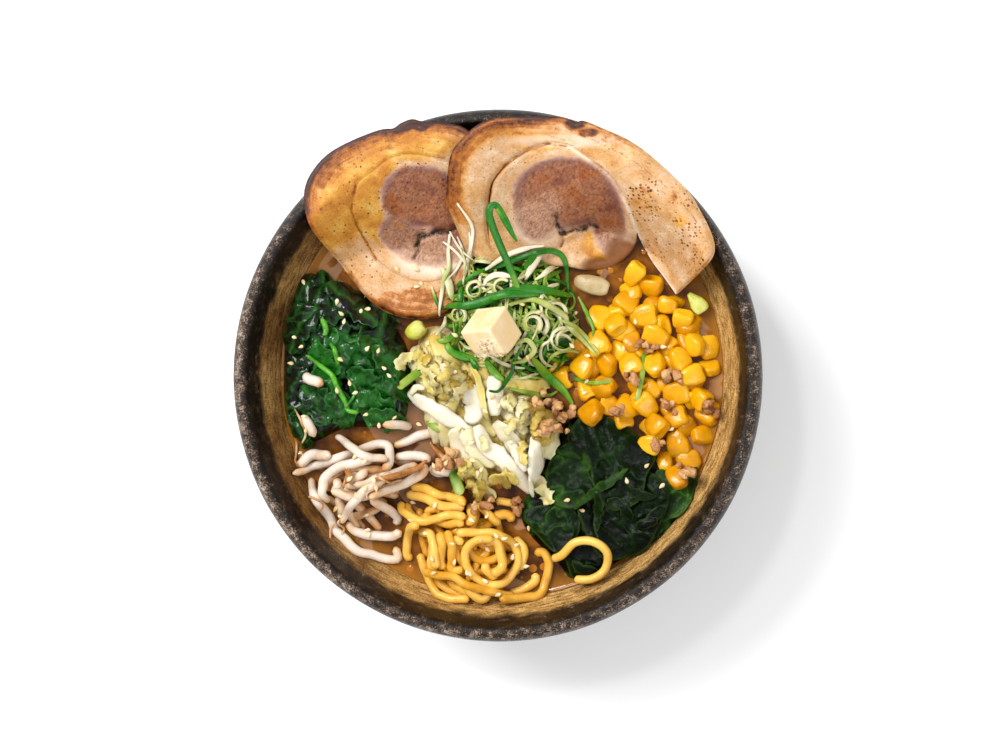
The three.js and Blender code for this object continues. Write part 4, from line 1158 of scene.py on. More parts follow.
# plan, width and tone of the brighter, crinkled leaves in the middle
SPINACH_LEAVES = [
    ((-66, 18, -60, 8, -55, -3), 15, 0.62), ((-54, 16, -49, 6, -44, -6), 14, 0.55),
    ((-72, 14, -69, 3, -66, -8), 11, 0.7), ((-60, 2, -52, -4, -42, -6), 12, 0.6),
    ((-48, 12, -42, 4, -36, -4), 9, 0.5), ((-80, -4, -74, -10, -70, -20), 13, 0.35),
    ((-68, -6, -63, -14, -62, -22), 12, 0.55), ((-57, -8, -50, -13, -42, -14), 13, 0.65),
    ((-52, -14, -45, -18, -38, -18), 9, 0.6), ((-84, -16, -80, -24, -78, -30), 8, 0.3),
    ((-46, 0, -40, -6, -34, -10), 7, 0.5)]
# plan, half width and tone of the stems
SPINACH_STEMS = [
    ((-76, 8, -71, 4, -66, 0, -64, -5, -61, -11, -60, -14, -56, -15), 1.1, (0.85, 1.05, 0.95, 1.1)),
    ((-70, 23, -68, 19, -68, 16), 1.2, 1.0), ((-66, 13, -64, 10, -63, 4), 1.0, 0.9),
    ((-60, -1, -57, -5, -58, -9, -61, -13), 0.6, 0.8)]


def make_spinach(look):
    pile, random = Pile(), np.random.default_rng(11)
    shells = [core(pile, SPINACH_OUTLINE, (-62, 4), 9.0, 2.4, 8, 21, 0.1)]
    for i in range(16):
        x, y = places_in(SPINACH_BACK, 1, random)[0]
        heading = random.uniform(0, math.pi)
        reach = random.uniform(9, 14)
        plan = [np.array(p) * min(1, 86 / max(1, math.hypot(*p))) for p in bowed(x, y, heading, reach)]
        shells.append(leaf(pile, plan, random.uniform(9, 14), crumple=1.9, wave=4, lift=-0.4, spacing=0.9,
            tone=random.uniform(0.0, 0.3) - 0.25 * (x > -66), seed=i + 1.0))
    for i, (plan, width, tone) in enumerate(SPINACH_LEAVES):
        shells.append(leaf(pile, pairs(*plan), width, crumple=1.9, wave=3.4, tone=tone - 0.05,
            seed=31.0 + i, curl=0.8, ragged=0.25, spacing=0.8))
    stems = [strand(pile, pairs(*plan), radius, tone, stiff=40, taper=(0.7, 0.8))
        for plan, radius, tone in SPINACH_STEMS]
    material = wet_leaf("boiled_spinach", ["#010401", "#051c04", look.spinach, "#1a6414", "#5aa82c"],
        sheen=0.3, size=4, depth=0.5, pucker=1.3, vein_colour="#35782a", edge_colour="#2f8028", edge=0.3,
        Specular_IOR_Level=0.15, Coat_Weight=0.5, Coat_Roughness=0.05)
    show("spinach_leaves", mesh_from("leaves", *joined(shells)), material, "spinach", ["spinach_heap"])
    show("spinach_stems", sweep(stems, material), material, "spinach")


# outline, centre, tone and lift of each sheet, from the lowest to the highest
WAKAME_SHEETS = [
    ((24, -70, 27, -74, 30, -82, 36, -82, 46, -76, 43, -67, 32, -67), (35, -74), 0.3, 0.2),
    ((80, -36, 78, -49, 73, -56, 68, -58, 64, -65, 60, -52, 64, -38, 73, -40), (70, -48), 0.75, 0.0),
    ((10, -56, 18, -52, 31, -51, 33, -62, 28, -69, 23, -71, 16, -65), (23, -60), 0.5, 0.4),
    ((32, -50, 42, -45, 56, -38, 65, -41, 69, -49, 64, -62, 58, -71, 44, -74, 37, -67), (51, -57), 0.4, 0.6),
    ((28, -27, 36, -26, 40, -41, 39, -47, 32, -53, 22, -51, 19, -41, 22, -32), (30, -40), 0.68, 0.8),
    ((36, -15, 50, -20, 63, -31, 60, -40, 57, -50, 46, -54, 39, -45, 36, -32, 28, -25), (47, -35), 0.42, 1.2)]
# plan, width and tone of the folds that stand up from the sheets
WAKAME_FOLDS = [
    ((31, -53, 45, -42, 53, -37), 3.5, 0.8), ((22, -30, 28, -31, 34, -33), 3, 0.75),
    ((44, -50, 50, -52, 54, -58), 5, 0.45), ((56, -60, 62, -58, 66, -52), 5, 0.4),
    ((40, -60, 44, -66, 50, -68), 5, 0.35), ((40, -46, 41, -54, 40, -62), 4, 0.65),
    ((30, -74, 34, -78, 40, -78), 4, 0.4), ((52, -44, 58, -48, 64, -48), 4, 0.5)]


def make_wakame(look):
    pile = Pile()
    shells = [core(pile, WAKAME_OUTLINE, (46, -50), 4.0, 1.2, 15, 41, 0.1)]
    for i, (outline, centre, tone, lift) in enumerate(WAKAME_SHEETS):
        shells.append(sheet(pile, pairs(*outline), centre, 1.6, 11, lift, tone, 51.0 + i))
    for i, (plan, width, tone) in enumerate(WAKAME_FOLDS):
        shells.append(leaf(pile, pairs(*plan), width, crumple=1.0, wave=6, tone=tone, seed=71.0 + i,
            lift=0.2, tips=(0.3, 0.2), vein=False, spacing=0.8, ragged=0.2))
    material = wet_leaf("soaked_wakame", ["#010200", "#020801", look.wakame, "#345c18"], sheen=0.07,
        size=12, depth=0.3, pucker=1.1, edge_colour="#46601e", edge=0.35, Specular_IOR_Level=0.16)
    show("wakame_leaves", mesh_from("leaves", *joined(shells)), material, "wakame", ["wakame"])


# ---------- noodles and bean sprouts
NOODLE_BED = pairs(
    -36, -50, -22, -50, -8, -54, 6, -60, 14, -70, 14, -84, 2, -88, -14, -90, -25, -86, -33, -74, -37, -62)
# from the lowest to the highest, each as it lies in the nest
NOODLES = [
    (14, -80, 14, -84, 9, -87, 4, -88), (6, -66, 10, -70, 10, -75, 8, -78), (-2, -51, 2, -51, 6, -52),
    (-2, -56, 3, -56, 6, -59), (-12, -53, -10, -57, -12, -60), (-8, -52, -4, -56, 0, -60),
    (-27, -58, -21, -60, -16, -59, -13, -60), (-3, -76, -4, -78, 0, -82), (-19, -67, -16, -66, -14, -68),
    (-26, -81, -23, -86, -13, -89), (-21, -82, -16, -86, -8, -89),
    (-27, -64, -27, -70, -28, -76, -26, -80), (-20, -63, -18, -68, -18, -74, -19, -78, -13, -78),
    (-23, -63, -22, -68, -23, -74, -22, -78), (-32, -63, -27, -64, -25, -68, -24, -78),
    (-29, -56, -28, -54, -24, -54, -24, -56), (-38, -52, -36, -56, -31, -58, -27, -56),
    (-38, -48, -29, -50, -24, -52, -14, -53), (-36, -45, -31, -46, -20, -50, -15, -50, -13, -52),
    (-40, -52, -38, -56, -30, -59, -20, -56, -12, -56), (-32, -60, -36, -62, -38, -72, -36, -75),
    (-32, -72, -29, -80, -26, -88, -22, -90, -12, -90), (-13, -84, -10, -88, -6, -90, -2, -86),
    (-5, -67, 0, -68, 2, -76, -2, -80),
    (-2, -66, -8, -66, -12, -70, -12, -76, -8, -82, -2, -84, 4, -82, 8, -71, 0, -64, -16, -63),
    (-29, -80, -18, -81, -12, -84, 0, -88, 6, -89), (14, -72, 18, -72, 20, -77, 18, -88, 12, -90, 1, -90)]


def strand_finish(name, stops, cloud_scale, cloudy, fine_scale, depth, **values):
    """A smooth wet strand, coloured by its tone and clouded by this much."""
    made, node, mm = new_material(name)
    tone, = masks_of(node, "tone")
    cloud = node("TexNoise", {"Vector": mm, "Scale": cloud_scale, "Detail": 4.0})
    fine = node("TexNoise", {"Vector": mm, "Scale": fine_scale, "Detail": 3.0})
    level = node("Math", {0: cloud, 1: cloudy, 2: tone}, operation="MULTIPLY_ADD")
    surface(node, node("ValToRGB", {"Fac": level}, stops=stops), fine, depth, **values)
    return made


def boiled_noodle(look):
    """Boiled egg noodle: firm yellow wheat dough with a wet, slightly see-through skin."""
    stops = [(0.4, "#a4640e"), (1.0, "#edbf5c"), (0.6, look.noodle), (0.76, "#e0a83c")]
    return strand_finish("boiled_egg_noodle", stops, 0.16, 0.8, 1.8, 0.12, Roughness=0.15, IOR=1.4,
        glow=(0.2, (2, 1.2, 0.4)))


def make_noodles(look):
    pile, random = Pile(), np.random.default_rng(5)
    material = boiled_noodle(look)
    radius = look.noodle_radius / MM
    strands = []
    while len(strands) < look.noodles_below:
        place = places_in(NOODLE_BED, 1, random)[0]
        plan = curled(place, random.uniform(0, 2 * ANY_TURN), random.uniform(-0.7, 0.7), 5)
        if all(within(NOODLE_BED, *p) for p in plan):
            strands.append(strand(pile, plan, radius * random.uniform(0.85, 1.05), 0.2, sink=2.5,
                seed=len(strands), wiggle=0.9))
    for i, plan in enumerate(NOODLES):
        thick, tone = radius * random.uniform(0.92, 1.1), random.uniform(0.28, 0.6)
        strands.append(strand(pile, pairs(*plan), thick, tone, stiff=14, seed=20.0 + i, wiggle=1.0,
            sink=1.1, blunt=0.6))
    show("noodles", sweep(strands, material, sides=12), material, "noodle", ["noodle_nest"])
    loop = pairs(22, -74, 26, -72, 31, -67, 37, -66, 42, -68, 44.5, -72, 43, -78, 38, -81.5, 31, -82)
    one = strand(pile, loop, 0.97 * radius, 0.55, stiff=60, seed=3.3)
    show("noodle_loop_strand", sweep([one], material, sides=12), material, "noodle", ["noodle_loop"])


SPROUT_BED = pairs(-78, -38, -64, -32, -46, -32, -34, -36, -40, -50, -46, -66, -58, -66, -72, -54)
# from the lowest to the highest
SPROUTS = [
    (-79, 0, -75, -2, -70, -4), (-79, -16, -77, -20, -75, -25), (-46, -20, -40, -20, -36, -21),
    (-66, -49, -64, -54, -64, -58), (-66, -42, -64, -45, -66, -48), (-62, -44, -56, -44, -49, -44),
    (-66, -46, -60, -49, -49, -48), (-52, -38, -56, -42, -60, -43), (-50, -50, -42, -58, -44, -60),
    (-43, -35, -37, -34, -31, -34), (-28, -36, -26, -39, -22, -40), (-27, -38, -22, -39, -16, -38),
    (-57, -44, -49, -42, -33, -36), (-62, -60, -58, -64, -46, -66, -40, -64),
    (-69, -51, -71, -46, -66, -38, -51, -34), (-84, -40, -72, -36, -66, -34, -56, -30),
    (-82, -35, -81, -36, -76, -32, -67, -32), (-65, -60, -56, -50, -51, -45, -42, -40),
    (-78, -42, -70, -56, -66, -64, -56, -72, -44, -75, -42, -74, -43, -70),
    (-43, -33, -32, -33, -28, -35), (-43, -29, -32, -24, -20, -23),
    (-58, -30, -47, -28, -44, -31, -44, -36, -46, -38), (-51, -49, -44, -46, -33, -41, -29, -36),
    (-67, -25, -52, -32, -44, -34)]
# stems that browned in the pan
BROWNED = [
    (-28, -27, -26, -30, -20, -36), (-48, -42, -40, -40, -32, -37, -28, -34),
    (-60, -37, -58, -40, -60, -43)]
# the thin root ends
SPROUT_ROOTS = [
    (-84, -26, -84, -34, -82, -36), (-83, -14, -80, -18, -79, -24, -81, -28),
    (-75, -53, -77, -50, -74, -49, -70, -51, -71, -54, -74, -54), (-66, -60, -68, -62, -68, -66),
    (-64, -58, -65, -60, -63, -63, -64, -66), (-63, -38, -60, -40, -60, -44, -62, -46),
    (-49, -39, -45, -41, -41, -44), (-51, -49, -50, -46, -38, -42)]


def blanched_sprout(look):
    """Blanched bean sprout: a watery, half see-through stem, white with a peach shade."""
    stops = [(0.36, "#a46a30"), (1.0, "#e2d2c2"), (0.58, "#c99664"), (0.74, look.sprout), (0.88, "#dcc6b0")]
    return strand_finish("blanched_bean_sprout", stops, 0.14, 1.0, 1.2, 0.15, Roughness=0.16, IOR=1.37,
        glow=(0.35, (3, 2.1, 1.35)))


def make_sprouts(look):
    pile, random = Pile(), np.random.default_rng(8)
    material = blanched_sprout(look)
    radius = look.sprout_radius / MM
    strands = []
    while len(strands) < look.sprouts_below:
        (x, y), heading = places_in(SPROUT_BED, 1, random)[0], random.uniform(-0.9, 0.6)
        plan = bowed(x, y, heading, random.uniform(8, 12), random.uniform(-0.25, 0.25))
        if all(within(SPROUT_BED, *p) for p in plan):
            strands.append(strand(pile, plan, 0.88 * radius, 0.12, sink=2.0, seed=len(strands),
                taper=(0.6, 0.9), wiggle=0.8))
    for i, plan in enumerate(SPROUTS):
        tone = random.uniform(0.25, 0.5) + 0.1 * (i > 10)
        tones = (0.15, tone, tone + 0.1, tone, tone, 0.2)
        strands.append(strand(pile, pairs(*plan), radius * random.uniform(0.84, 1.1), tones, stiff=18,
            seed=30.0 + i, taper=(0.75, 0.9), wiggle=1.0, sink=1.0, blunt=0.7))
    for plans, thick, tone, stiff, taper, wiggle, seed in (
            (BROWNED, 1.3, -0.15, 14, (0.6, 0.5), 0.9, 50.0),
            (SPROUT_ROOTS, 0.5, 0.1, 10, (0.5, 0.8), 0.5, 60.0)):
        strands += [strand(pile, pairs(*plan), thick, tone, stiff=stiff, taper=taper, wiggle=wiggle,
            seed=seed + i) for i, plan in enumerate(plans)]
    show("bean_sprout_stems", sweep(strands, material, sides=12), material, "sprout", ["bean_sprouts"])


# ---------- scattered things
def scatter_nodes():
    """Puts one of the shapes at each point, turned, sized and toned as the point says."""
    tree, node, given = group_of("scatter", [
        ("Places", "NodeSocketGeometry"), ("Shapes", "NodeSocketCollection"),
        ("Material", "NodeSocketMaterial"), ("Seed", "NodeSocketInt")])
    turn = node("InputNamedAttribute", {"Name": "turn"}, data_type="FLOAT_VECTOR")
    size = node("InputNamedAttribute", {"Name": "size"})
    which = node("RandomValue", {"Min": 0, "Max": 99, "Seed": given["Seed"]}, data_type="INT")
    shapes = node("CollectionInfo", {
        "Collection": given["Shapes"], "Separate Children": True, "Reset Children": True})
    placed = node("InstanceOnPoints", {
        "Points": given["Places"], "Instance": shapes, "Pick Instance": True, "Instance Index": which,
        "Rotation": turn, "Scale": size})
    return finished(tree, node, given, placed)


def laid(pile, random, spots, radius, tilt, sizes, tones, sunk=0.0, ceiling=99.0):
    """Lays a thing of about this radius at each spot: its place, turn, size and tone."""
    things = []
    for x, y in spots:
        size = random.uniform(*sizes)
        z = pile.rest(np.array([x]), np.array([y]), radius * size)[0] - sunk
        turn = [random.uniform(-most, most) for most in tilt]
        things.append(((x, y, min(z, ceiling)), turn, size, random.uniform(*tones)))
        pile.cover_strand(np.array([things[-1][0]]), 1.35 * radius * size, 0.8)
    return things


def scatter(things, shapes, material):
    """One mesh of the shapes, one at each thing's place, turned, sized and toned."""
    places, turns, sizes, tones = zip(*things)
    collection = bpy.data.collections.new("shapes")
    for i, (points, faces, attributes) in enumerate(shapes):
        mesh = mesh_from("shape_%d" % i, points, faces, attributes)
        collection.objects.link(bpy.data.objects.new("shape_%d" % i, mesh))
    attributes = {"turn": np.array(turns), "size": np.array(sizes), "tone": np.array(tones)}
    tree = bpy.data.node_groups.get("scatter") or scatter_nodes()
    values = {"Shapes": collection, "Material": material, "Seed": 1}
    mesh = made_by(tree, mesh_from("places", places, [], attributes), values)
    for child in list(collection.objects):
        bpy.data.objects.remove(child)
    bpy.data.collections.remove(collection)
    return mesh


def lump(size, boxy=1.0, taper=0.0, dent=0.0, rough=0.0, seed=0.0, sides=20, rows=13):
    """A closed rounded lump along X, boxy below 1, narrowed at its low end, dented at its high end."""
    turn = np.linspace(0, FULL_TURN, sides, endpoint=False)[None, :]
    rise = np.linspace(0, math.pi, rows)[1:-1, None]

    def power(c):
        return np.sign(c) * np.abs(c) ** boxy

    x = np.broadcast_to(-power(np.cos(rise)), (rows - 2, sides))
    y, z = power(np.sin(rise)) * power(np.cos(turn)), power(np.sin(rise)) * power(np.sin(turn))
    ball = np.vstack([np.dstack([x, y, z]).reshape(-1, 3), [[-1, 0, 0], [1, 0, 0]]])
    narrow = 1 - taper * smooth((0.3 - ball[:, 0]) / 1.3)
    ball[:, 1:] *= narrow[:, None]
    hollow = 1 - smooth(np.hypot(ball[:, 1], ball[:, 2]) / 0.8)
    ball[:, 0] -= dent * smooth((ball[:, 0] - 0.2) / 0.8) * hollow
    points = ball * np.array(size) / 2
    if rough:
        points += unit(points) * (rough * field(points, min(size) * 0.8, seed))[:, None]
    return points, round_faces(rows - 2, sides), {"along": (1 + ball[:, 0]) / 2}


def lump_finish(name, colours, fine_scale=1.2, depth=0.15, **values):
    """Food with a tone for each piece: colour from the first at its tip to the last at its crown."""
    made, node, mm = new_material(name)
    tone, along = masks_of(node, "tone", "along")
    cloud = node("TexNoise", {"Vector": mm, "Scale": 0.3, "Detail": 3.0})
    fine = node("TexNoise", {"Vector": mm, "Scale": fine_scale, "Detail": 4.0})
    both = node("Math", {0: along, 1: 0.25, 2: tone}, operation="MULTIPLY_ADD")
    level = node("Math", {0: cloud, 1: 0.5, 2: both}, operation="MULTIPLY_ADD")
    stops = list(zip(np.linspace(0.2, 1, len(colours)).tolist(), colours))
    surface(node, node("ValToRGB", {"Fac": level}, stops=stops), fine, depth, **values)
    return made


# ---------- corn and minced pork
CORN_OUTLINE = pairs(
    18, 4, 29, 13, 38, 24, 55, 37, 64, 36, 75, 29, 84, 19, 87, 5, 83, -22, 73, -42, 66, -34, 52, -18,
    39, -17, 21, -2)


def spread(outline, gap, random, tries=1500):
    """Plan points inside an outline that keep this far apart."""
    kept = np.empty((0, 2))
    for place in places_in(outline, tries, random):
        if not len(kept) or np.linalg.norm(kept - place, axis=1).min() > gap:
            kept = np.vstack([kept, place])
    return kept


def steamed_corn(look):
    """Sweetcorn kernels: a thin, glossy, stretched skin over juicy yellow flesh, paler at the tip."""
    return lump_finish("steamed_sweetcorn", ["#a06c04", "#cb8803", look.corn, "#eeb41c"], 1.0, 0.12,
        Roughness=0.14, IOR=1.42, glow=(0.25, (2.5, 1.375, 0.25)))


def kernel(length, seed, cut=False):
    size = (length + 0.9 * math.sin(seed * 2), 0.9 * length + 0.9 * math.cos(seed * 5), 0.65 * length)
    return lump(size, boxy=0.52, taper=0.28, dent=2.2 if cut else 0.3, rough=0.55, seed=seed)


def make_corn(look):
    pile, random = Pile(), np.random.default_rng(21)
    material = steamed_corn(look)
    things = []
    top = pairs(28, 6, 40, 20, 52, 30, 70, 28, 82, 12, 82, -8, 74, -26, 60, -18, 44, -10)
    for outline, gap, sunk in ((CORN_OUTLINE, 7.4, 2.9), (top, 8.2, 1.4)):
        things += laid(pile, random, spread(outline, gap, random), 2.7, (0.5, 0.9, ANY_TURN), (0.84, 1.08),
            (0.1, 0.6), sunk, ceiling=66.5)
    shapes = [kernel(look.kernel / MM, s, cut=s == 3) for s in range(7)]
    show("corn_kernels", scatter(things, shapes, material), material, "corn", ["corn_heap"])
    middle = sum(np.array(corner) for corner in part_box("corn_kernel_loose")) / 2 / MM
    loose = scatter([(middle, (0.2, -0.35, 0.9), 0.92, 0.5)], [kernel(look.kernel / MM, 7.0)], material)
    show("corn_loose", loose, material, "corn", ["corn_kernel_loose"])


def make_mince(look):
    """Crumbs of fried minced pork among the corn and at the edge of the cabbage."""
    pile, random = Pile(), np.random.default_rng(33)
    spots = pairs(60, 11, 54, 0, 70, 0, 68, -13, 49, -15, 85, -14, 18, -9, 24, -13, 28, -17, 25, -22, 21,
        -20, 64, -26, 76, -36, -18, -33, -22, -35, 8, -52, -5, -51)
    crumbs = [np.array(spot) + random.normal(0, 1.7, 2) for spot in spots for _ in range(5)]
    things = laid(pile, random, crumbs, 1.3, (ANY_TURN, ANY_TURN, ANY_TURN), (0.6, 1.2), (0.1, 0.7))
    material = lump_finish("fried_pork_mince", ["#6b3a20", "#a0673a", look.mince, "#e2b27c"], 1.6, 0.7,
        Roughness=0.4, IOR=1.42)
    shapes = [lump((4.6, 3.4, 2.8), rough=1.5, seed=s, sides=16, rows=11) for s in range(4)]
    show("pork_mince", scatter(things, shapes, material), material, "pork")


# ---------- cabbage
CABBAGE_OUTLINE = pairs(
    -33, 15, -28, 20, -17, 19, 6, 14, 16, 2, 18, -11, 21, -24, 18, -37, 12, -46, 2, -43, -8, -47,
    -14, -43, -18, -34, -24, -24, -34, -6)


def wilted_cabbage(look):
    """Cabbage softened in the broth: watery white ribs and thin creamy leaf, yellow-green at its
    frills and brown where it was fried."""
    return wet_leaf("wilted_cabbage", ["#8a5a1c", "#bf9a38", look.cabbage, "#e0d4a2", "#e8e0cc"], sheen=0.3,
        size=9, depth=0.2, pucker=0.3, vein_colour="#f0ead8", glow=(0.3, (2.5, 2, 1.125)))


# plan, width, thickness, tone and how far the long edges rise
CABBAGE_RIBS = [
    ((-36, -6, -31, -10, -20, -16, -8, -24), 6.5, 2.2, 1.0, -1.0),
    ((-28, -5, -32, -5, -35, -8), 2.6, 1.2, 0.9, 0.0),
    ((-12, -4, -9, -8, -8, -13, -10, -19), 9.0, 1.5, 0.97, -0.8),
    ((-1, 0, 0, -6, 0, -16), 6.5, 2.2, 1.0, -1.0), ((-16, -21, -14, -28, -9, -33), 9.0, 1.2, 0.85, 0.0),
    ((-12, -22, -6, -30, 0, -36), 9.0, 1.2, 0.8, 0.4), ((0, -18, 9, -30, 10, -36), 7.0, 1.4, 0.85, 0.3),
    ((-7, -20, -3, -28, 4, -34, 14, -47), 7.0, 1.9, 1.0, -0.8),
    ((6, -26, 10, -32, 12, -38), 4.6, 1.8, 0.97, -0.6),
    ((16, -24, 16, -37, 14, -42), 5.2, 1.9, 1.0, -0.8),
    ((14, -41, 14, -46, 14, -49), 1.8, 1.2, 0.95, 0.0),
    ((-8, -34, -6, -39, -4, -44), 5.0, 1.2, 0.62, 0.0), ((-10, 4, -6, -3, -3, -18), 2.6, 0.7, 0.55, 0.6),
    ((-3, -42, 2, -42, 4, -46), 5.0, 0.9, 0.45, 0.5)]
# the same, for the thinner leaf
CABBAGE_LEAF = [
    ((14, -11, 20, -18, 20, -28), 7.0, 0.6, 0.4, 0.8), ((9, -10, 12, -16, 14, -20), 8.0, 0.7, 0.6, 0.6),
    ((-39, 2, -38, 6, -35, 8, -31, 7), 5.0, 0.9, 0.7, 0.6),
    ((-28, 4, -26, -3, -22, -8), 6.0, 0.7, 0.5, 0.8), ((-26, 6, -21, 2, -16, -2), 7.0, 0.7, 0.45, 0.8),
    ((-33, 10, -29, 5, -26, 0), 6.0, 0.7, 0.58, 0.6), ((-20, 4, -16, -4, -12, -7), 5.0, 0.7, 0.3, 0.5),
    ((4, -2, 16, -4, 20, -3), 7.0, 0.7, 0.52, 0.3), ((2, -22, 6, -20, 11, -20), 5.0, 0.6, 0.5, 0.6)]
# plan, width and tone of the crinkled strips
CABBAGE_FRILLS = [
    ((17, -44, 20, -48, 20, -52), 6.0, 0.65), ((-14, -37, -9, -48, -9, -51), 4.5, 0.25),
    ((-6, -48, -8, -46, -6, -42), 5.0, 0.28), ((-15, -33, -13, -38, -11, -41), 5.0, 0.3),
    ((12, -26, 11, -31, 13, -35), 4.0, 0.45), ((17, -16, 18, -21, 15, -25), 4.0, 0.22),
    ((-24, -1, -21, -6, -20, -10), 4.5, 0.42), ((-14, 2, -12, -2, -9, -5), 4.0, 0.25),
    ((-18, -2, -15, -6, -13, -9), 4.0, 0.3), ((-30, 9, -27, 6, -23, 5), 4.0, 0.4),
    ((-5, -24, -3, -27, -4, -30), 3.0, 0.7), ((3, -38, 6, -40, 9, -44), 3.5, 0.45)]
# patches of crumpled leaf edge: outline, how many, and their tones
CABBAGE_CRUMPLED = [
    ((-27, 8, -17, 5, -10, -2, -11, -9, -19, -8, -26, -1), 22, 0.22, 0.75),
    ((14, -13, 20, -17, 19, -27, 14, -24), 5, 0.25, 0.5),
    ((-15, -34, -7, -38, -8, -48, -13, -44), 7, 0.2, 0.5),
    ((1, -9, 12, -10, 13, -20, 3, -21), 10, 0.6, 0.85)]
# plan and half width of the cut green stalks
GREEN_STALKS = [
    ((-30, 2, -36, -2, -40, -5), 1.7), ((-18.5, -38, -17, -42.5, -14.6, -48), 2.3),
    ((-29, -17, -26, -20, -22, -22), 1.5), ((30, -1, 38, -3, 46, -2), 0.9),
    ((59, 10, 58, 0, 56, -10), 1.1)]


def make_cabbage(look):
    pile, random = Pile(), np.random.default_rng(14)
    # the core under the shreds is given a darker yellow tone, as painted shade
    shells = [core(pile, CABBAGE_OUTLINE, (-5, -13), 13.0, 1.5, 9, 61, 0.35)]
    for i in range(look.cabbage_shreds):
        x, y = places_in(CABBAGE_OUTLINE, 1, random)[0]
        plan = bowed(x, y, random.uniform(-2.2, -0.5), random.uniform(6, 10), random.uniform(-0.3, 0.3))
        shells.append(leaf(pile, plan, random.uniform(4, 8), random.uniform(0.6, 1.2), crumple=0.7, wave=7,
            tips=(0.5, 0.4), tone=random.uniform(0.4, 0.8), seed=i + 0.5, vein=False, lift=-0.3,
            ragged=0.15, spacing=0.9))
    softer = {"crumple": 1.3, "wave": 4.2, "tips": (0.5, 0.5), "ragged": 0.3, "spacing": 0.7}
    firmer = {"crumple": 0.35, "wave": 9, "tips": (0.4, 0.3), "ragged": 0.14, "spacing": 0.8,
        "lift": 0.1, "soft": 16}
    for parts, seed, manner in ((CABBAGE_LEAF, 61.0, softer), (CABBAGE_RIBS, 71.0, firmer)):
        for i, (plan, width, thick, tone, curl) in enumerate(parts):
            shells.append(leaf(pile, pairs(*plan), width, thick, tone=tone, seed=seed + i, vein=False,
                curl=curl, **manner))
    frills = [(pairs(*plan), width, tone) for plan, width, tone in CABBAGE_FRILLS]
    for patch, how_many, low, high in CABBAGE_CRUMPLED:
        for x, y in places_in(pairs(*patch), how_many, random):
            dx, dy = random.uniform(-3, 3), random.uniform(-4, -1.5)
            frills.append(([(x - dx, y - dy), (x, y), (x + dx, y + dy)], 3.4, random.uniform(low, high)))
    for i, (plan, width, tone) in enumerate(frills):
        shells.append(leaf(pile, plan, width, 0.5, crumple=1.2, wave=3.0, tips=(0.6, 0.5), tone=tone,
            seed=91.0 + i, vein=False, spacing=0.6, ragged=0.4))
    material = wilted_cabbage(look)
    show("cabbage_shreds", mesh_from("cabbage", *joined(shells)), material, "cabbage", ["cabbage_heap"])


# ---------- scallion and leek
SCALLION_OUTLINE = pairs(
    -15, 44, 0, 47, 16, 47, 25, 42, 32, 24, 35, 17, 31, 9, 22, 2, 8, -3, -8, 4, -19, 12, -23, 24)


def fresh_scallion(look):
    """Raw scallion in fine shreds: dark waxy green leaf, yellow-green neck, glassy white stem. Deep in the
    heap it is given darker tones, as painted shade."""
    made, node, mm = new_material("shredded_scallion")
    tone, = masks_of(node, "tone")
    cloud = node("TexNoise", {"Vector": mm, "Scale": 0.35, "Detail": 4.0})
    fine = node("TexNoise", {"Vector": mm, "Scale": 2.2, "Detail": 3.0})
    colour = node("ValToRGB", {"Fac": frayed(node, tone, (cloud, 0.3))}, stops=[(0.0, "#ebe2c8"), (1.0,
        "#141506"), (0.16, "#cfcaa0"), (0.34, "#a8ae5c"), (0.5, "#7d9c2c"), (0.64, look.scallion),
        (0.78, "#1a6a12"), (0.88, "#0c380a")])
    surface(node, colour, fine, 0.1, Roughness=0.28, IOR=1.4, glow=(0.15, (0.9, 1.5, 0.45)))
    return made


# tones along a blade: 0 is white, 0.3 to 0.5 yellow-green, and 0.7 and more green
GREEN, WHITE, NECK = (0.68, 0.76, 0.7), (0.1, 0.0, 0.06), (0.42, 0.3, 0.38)
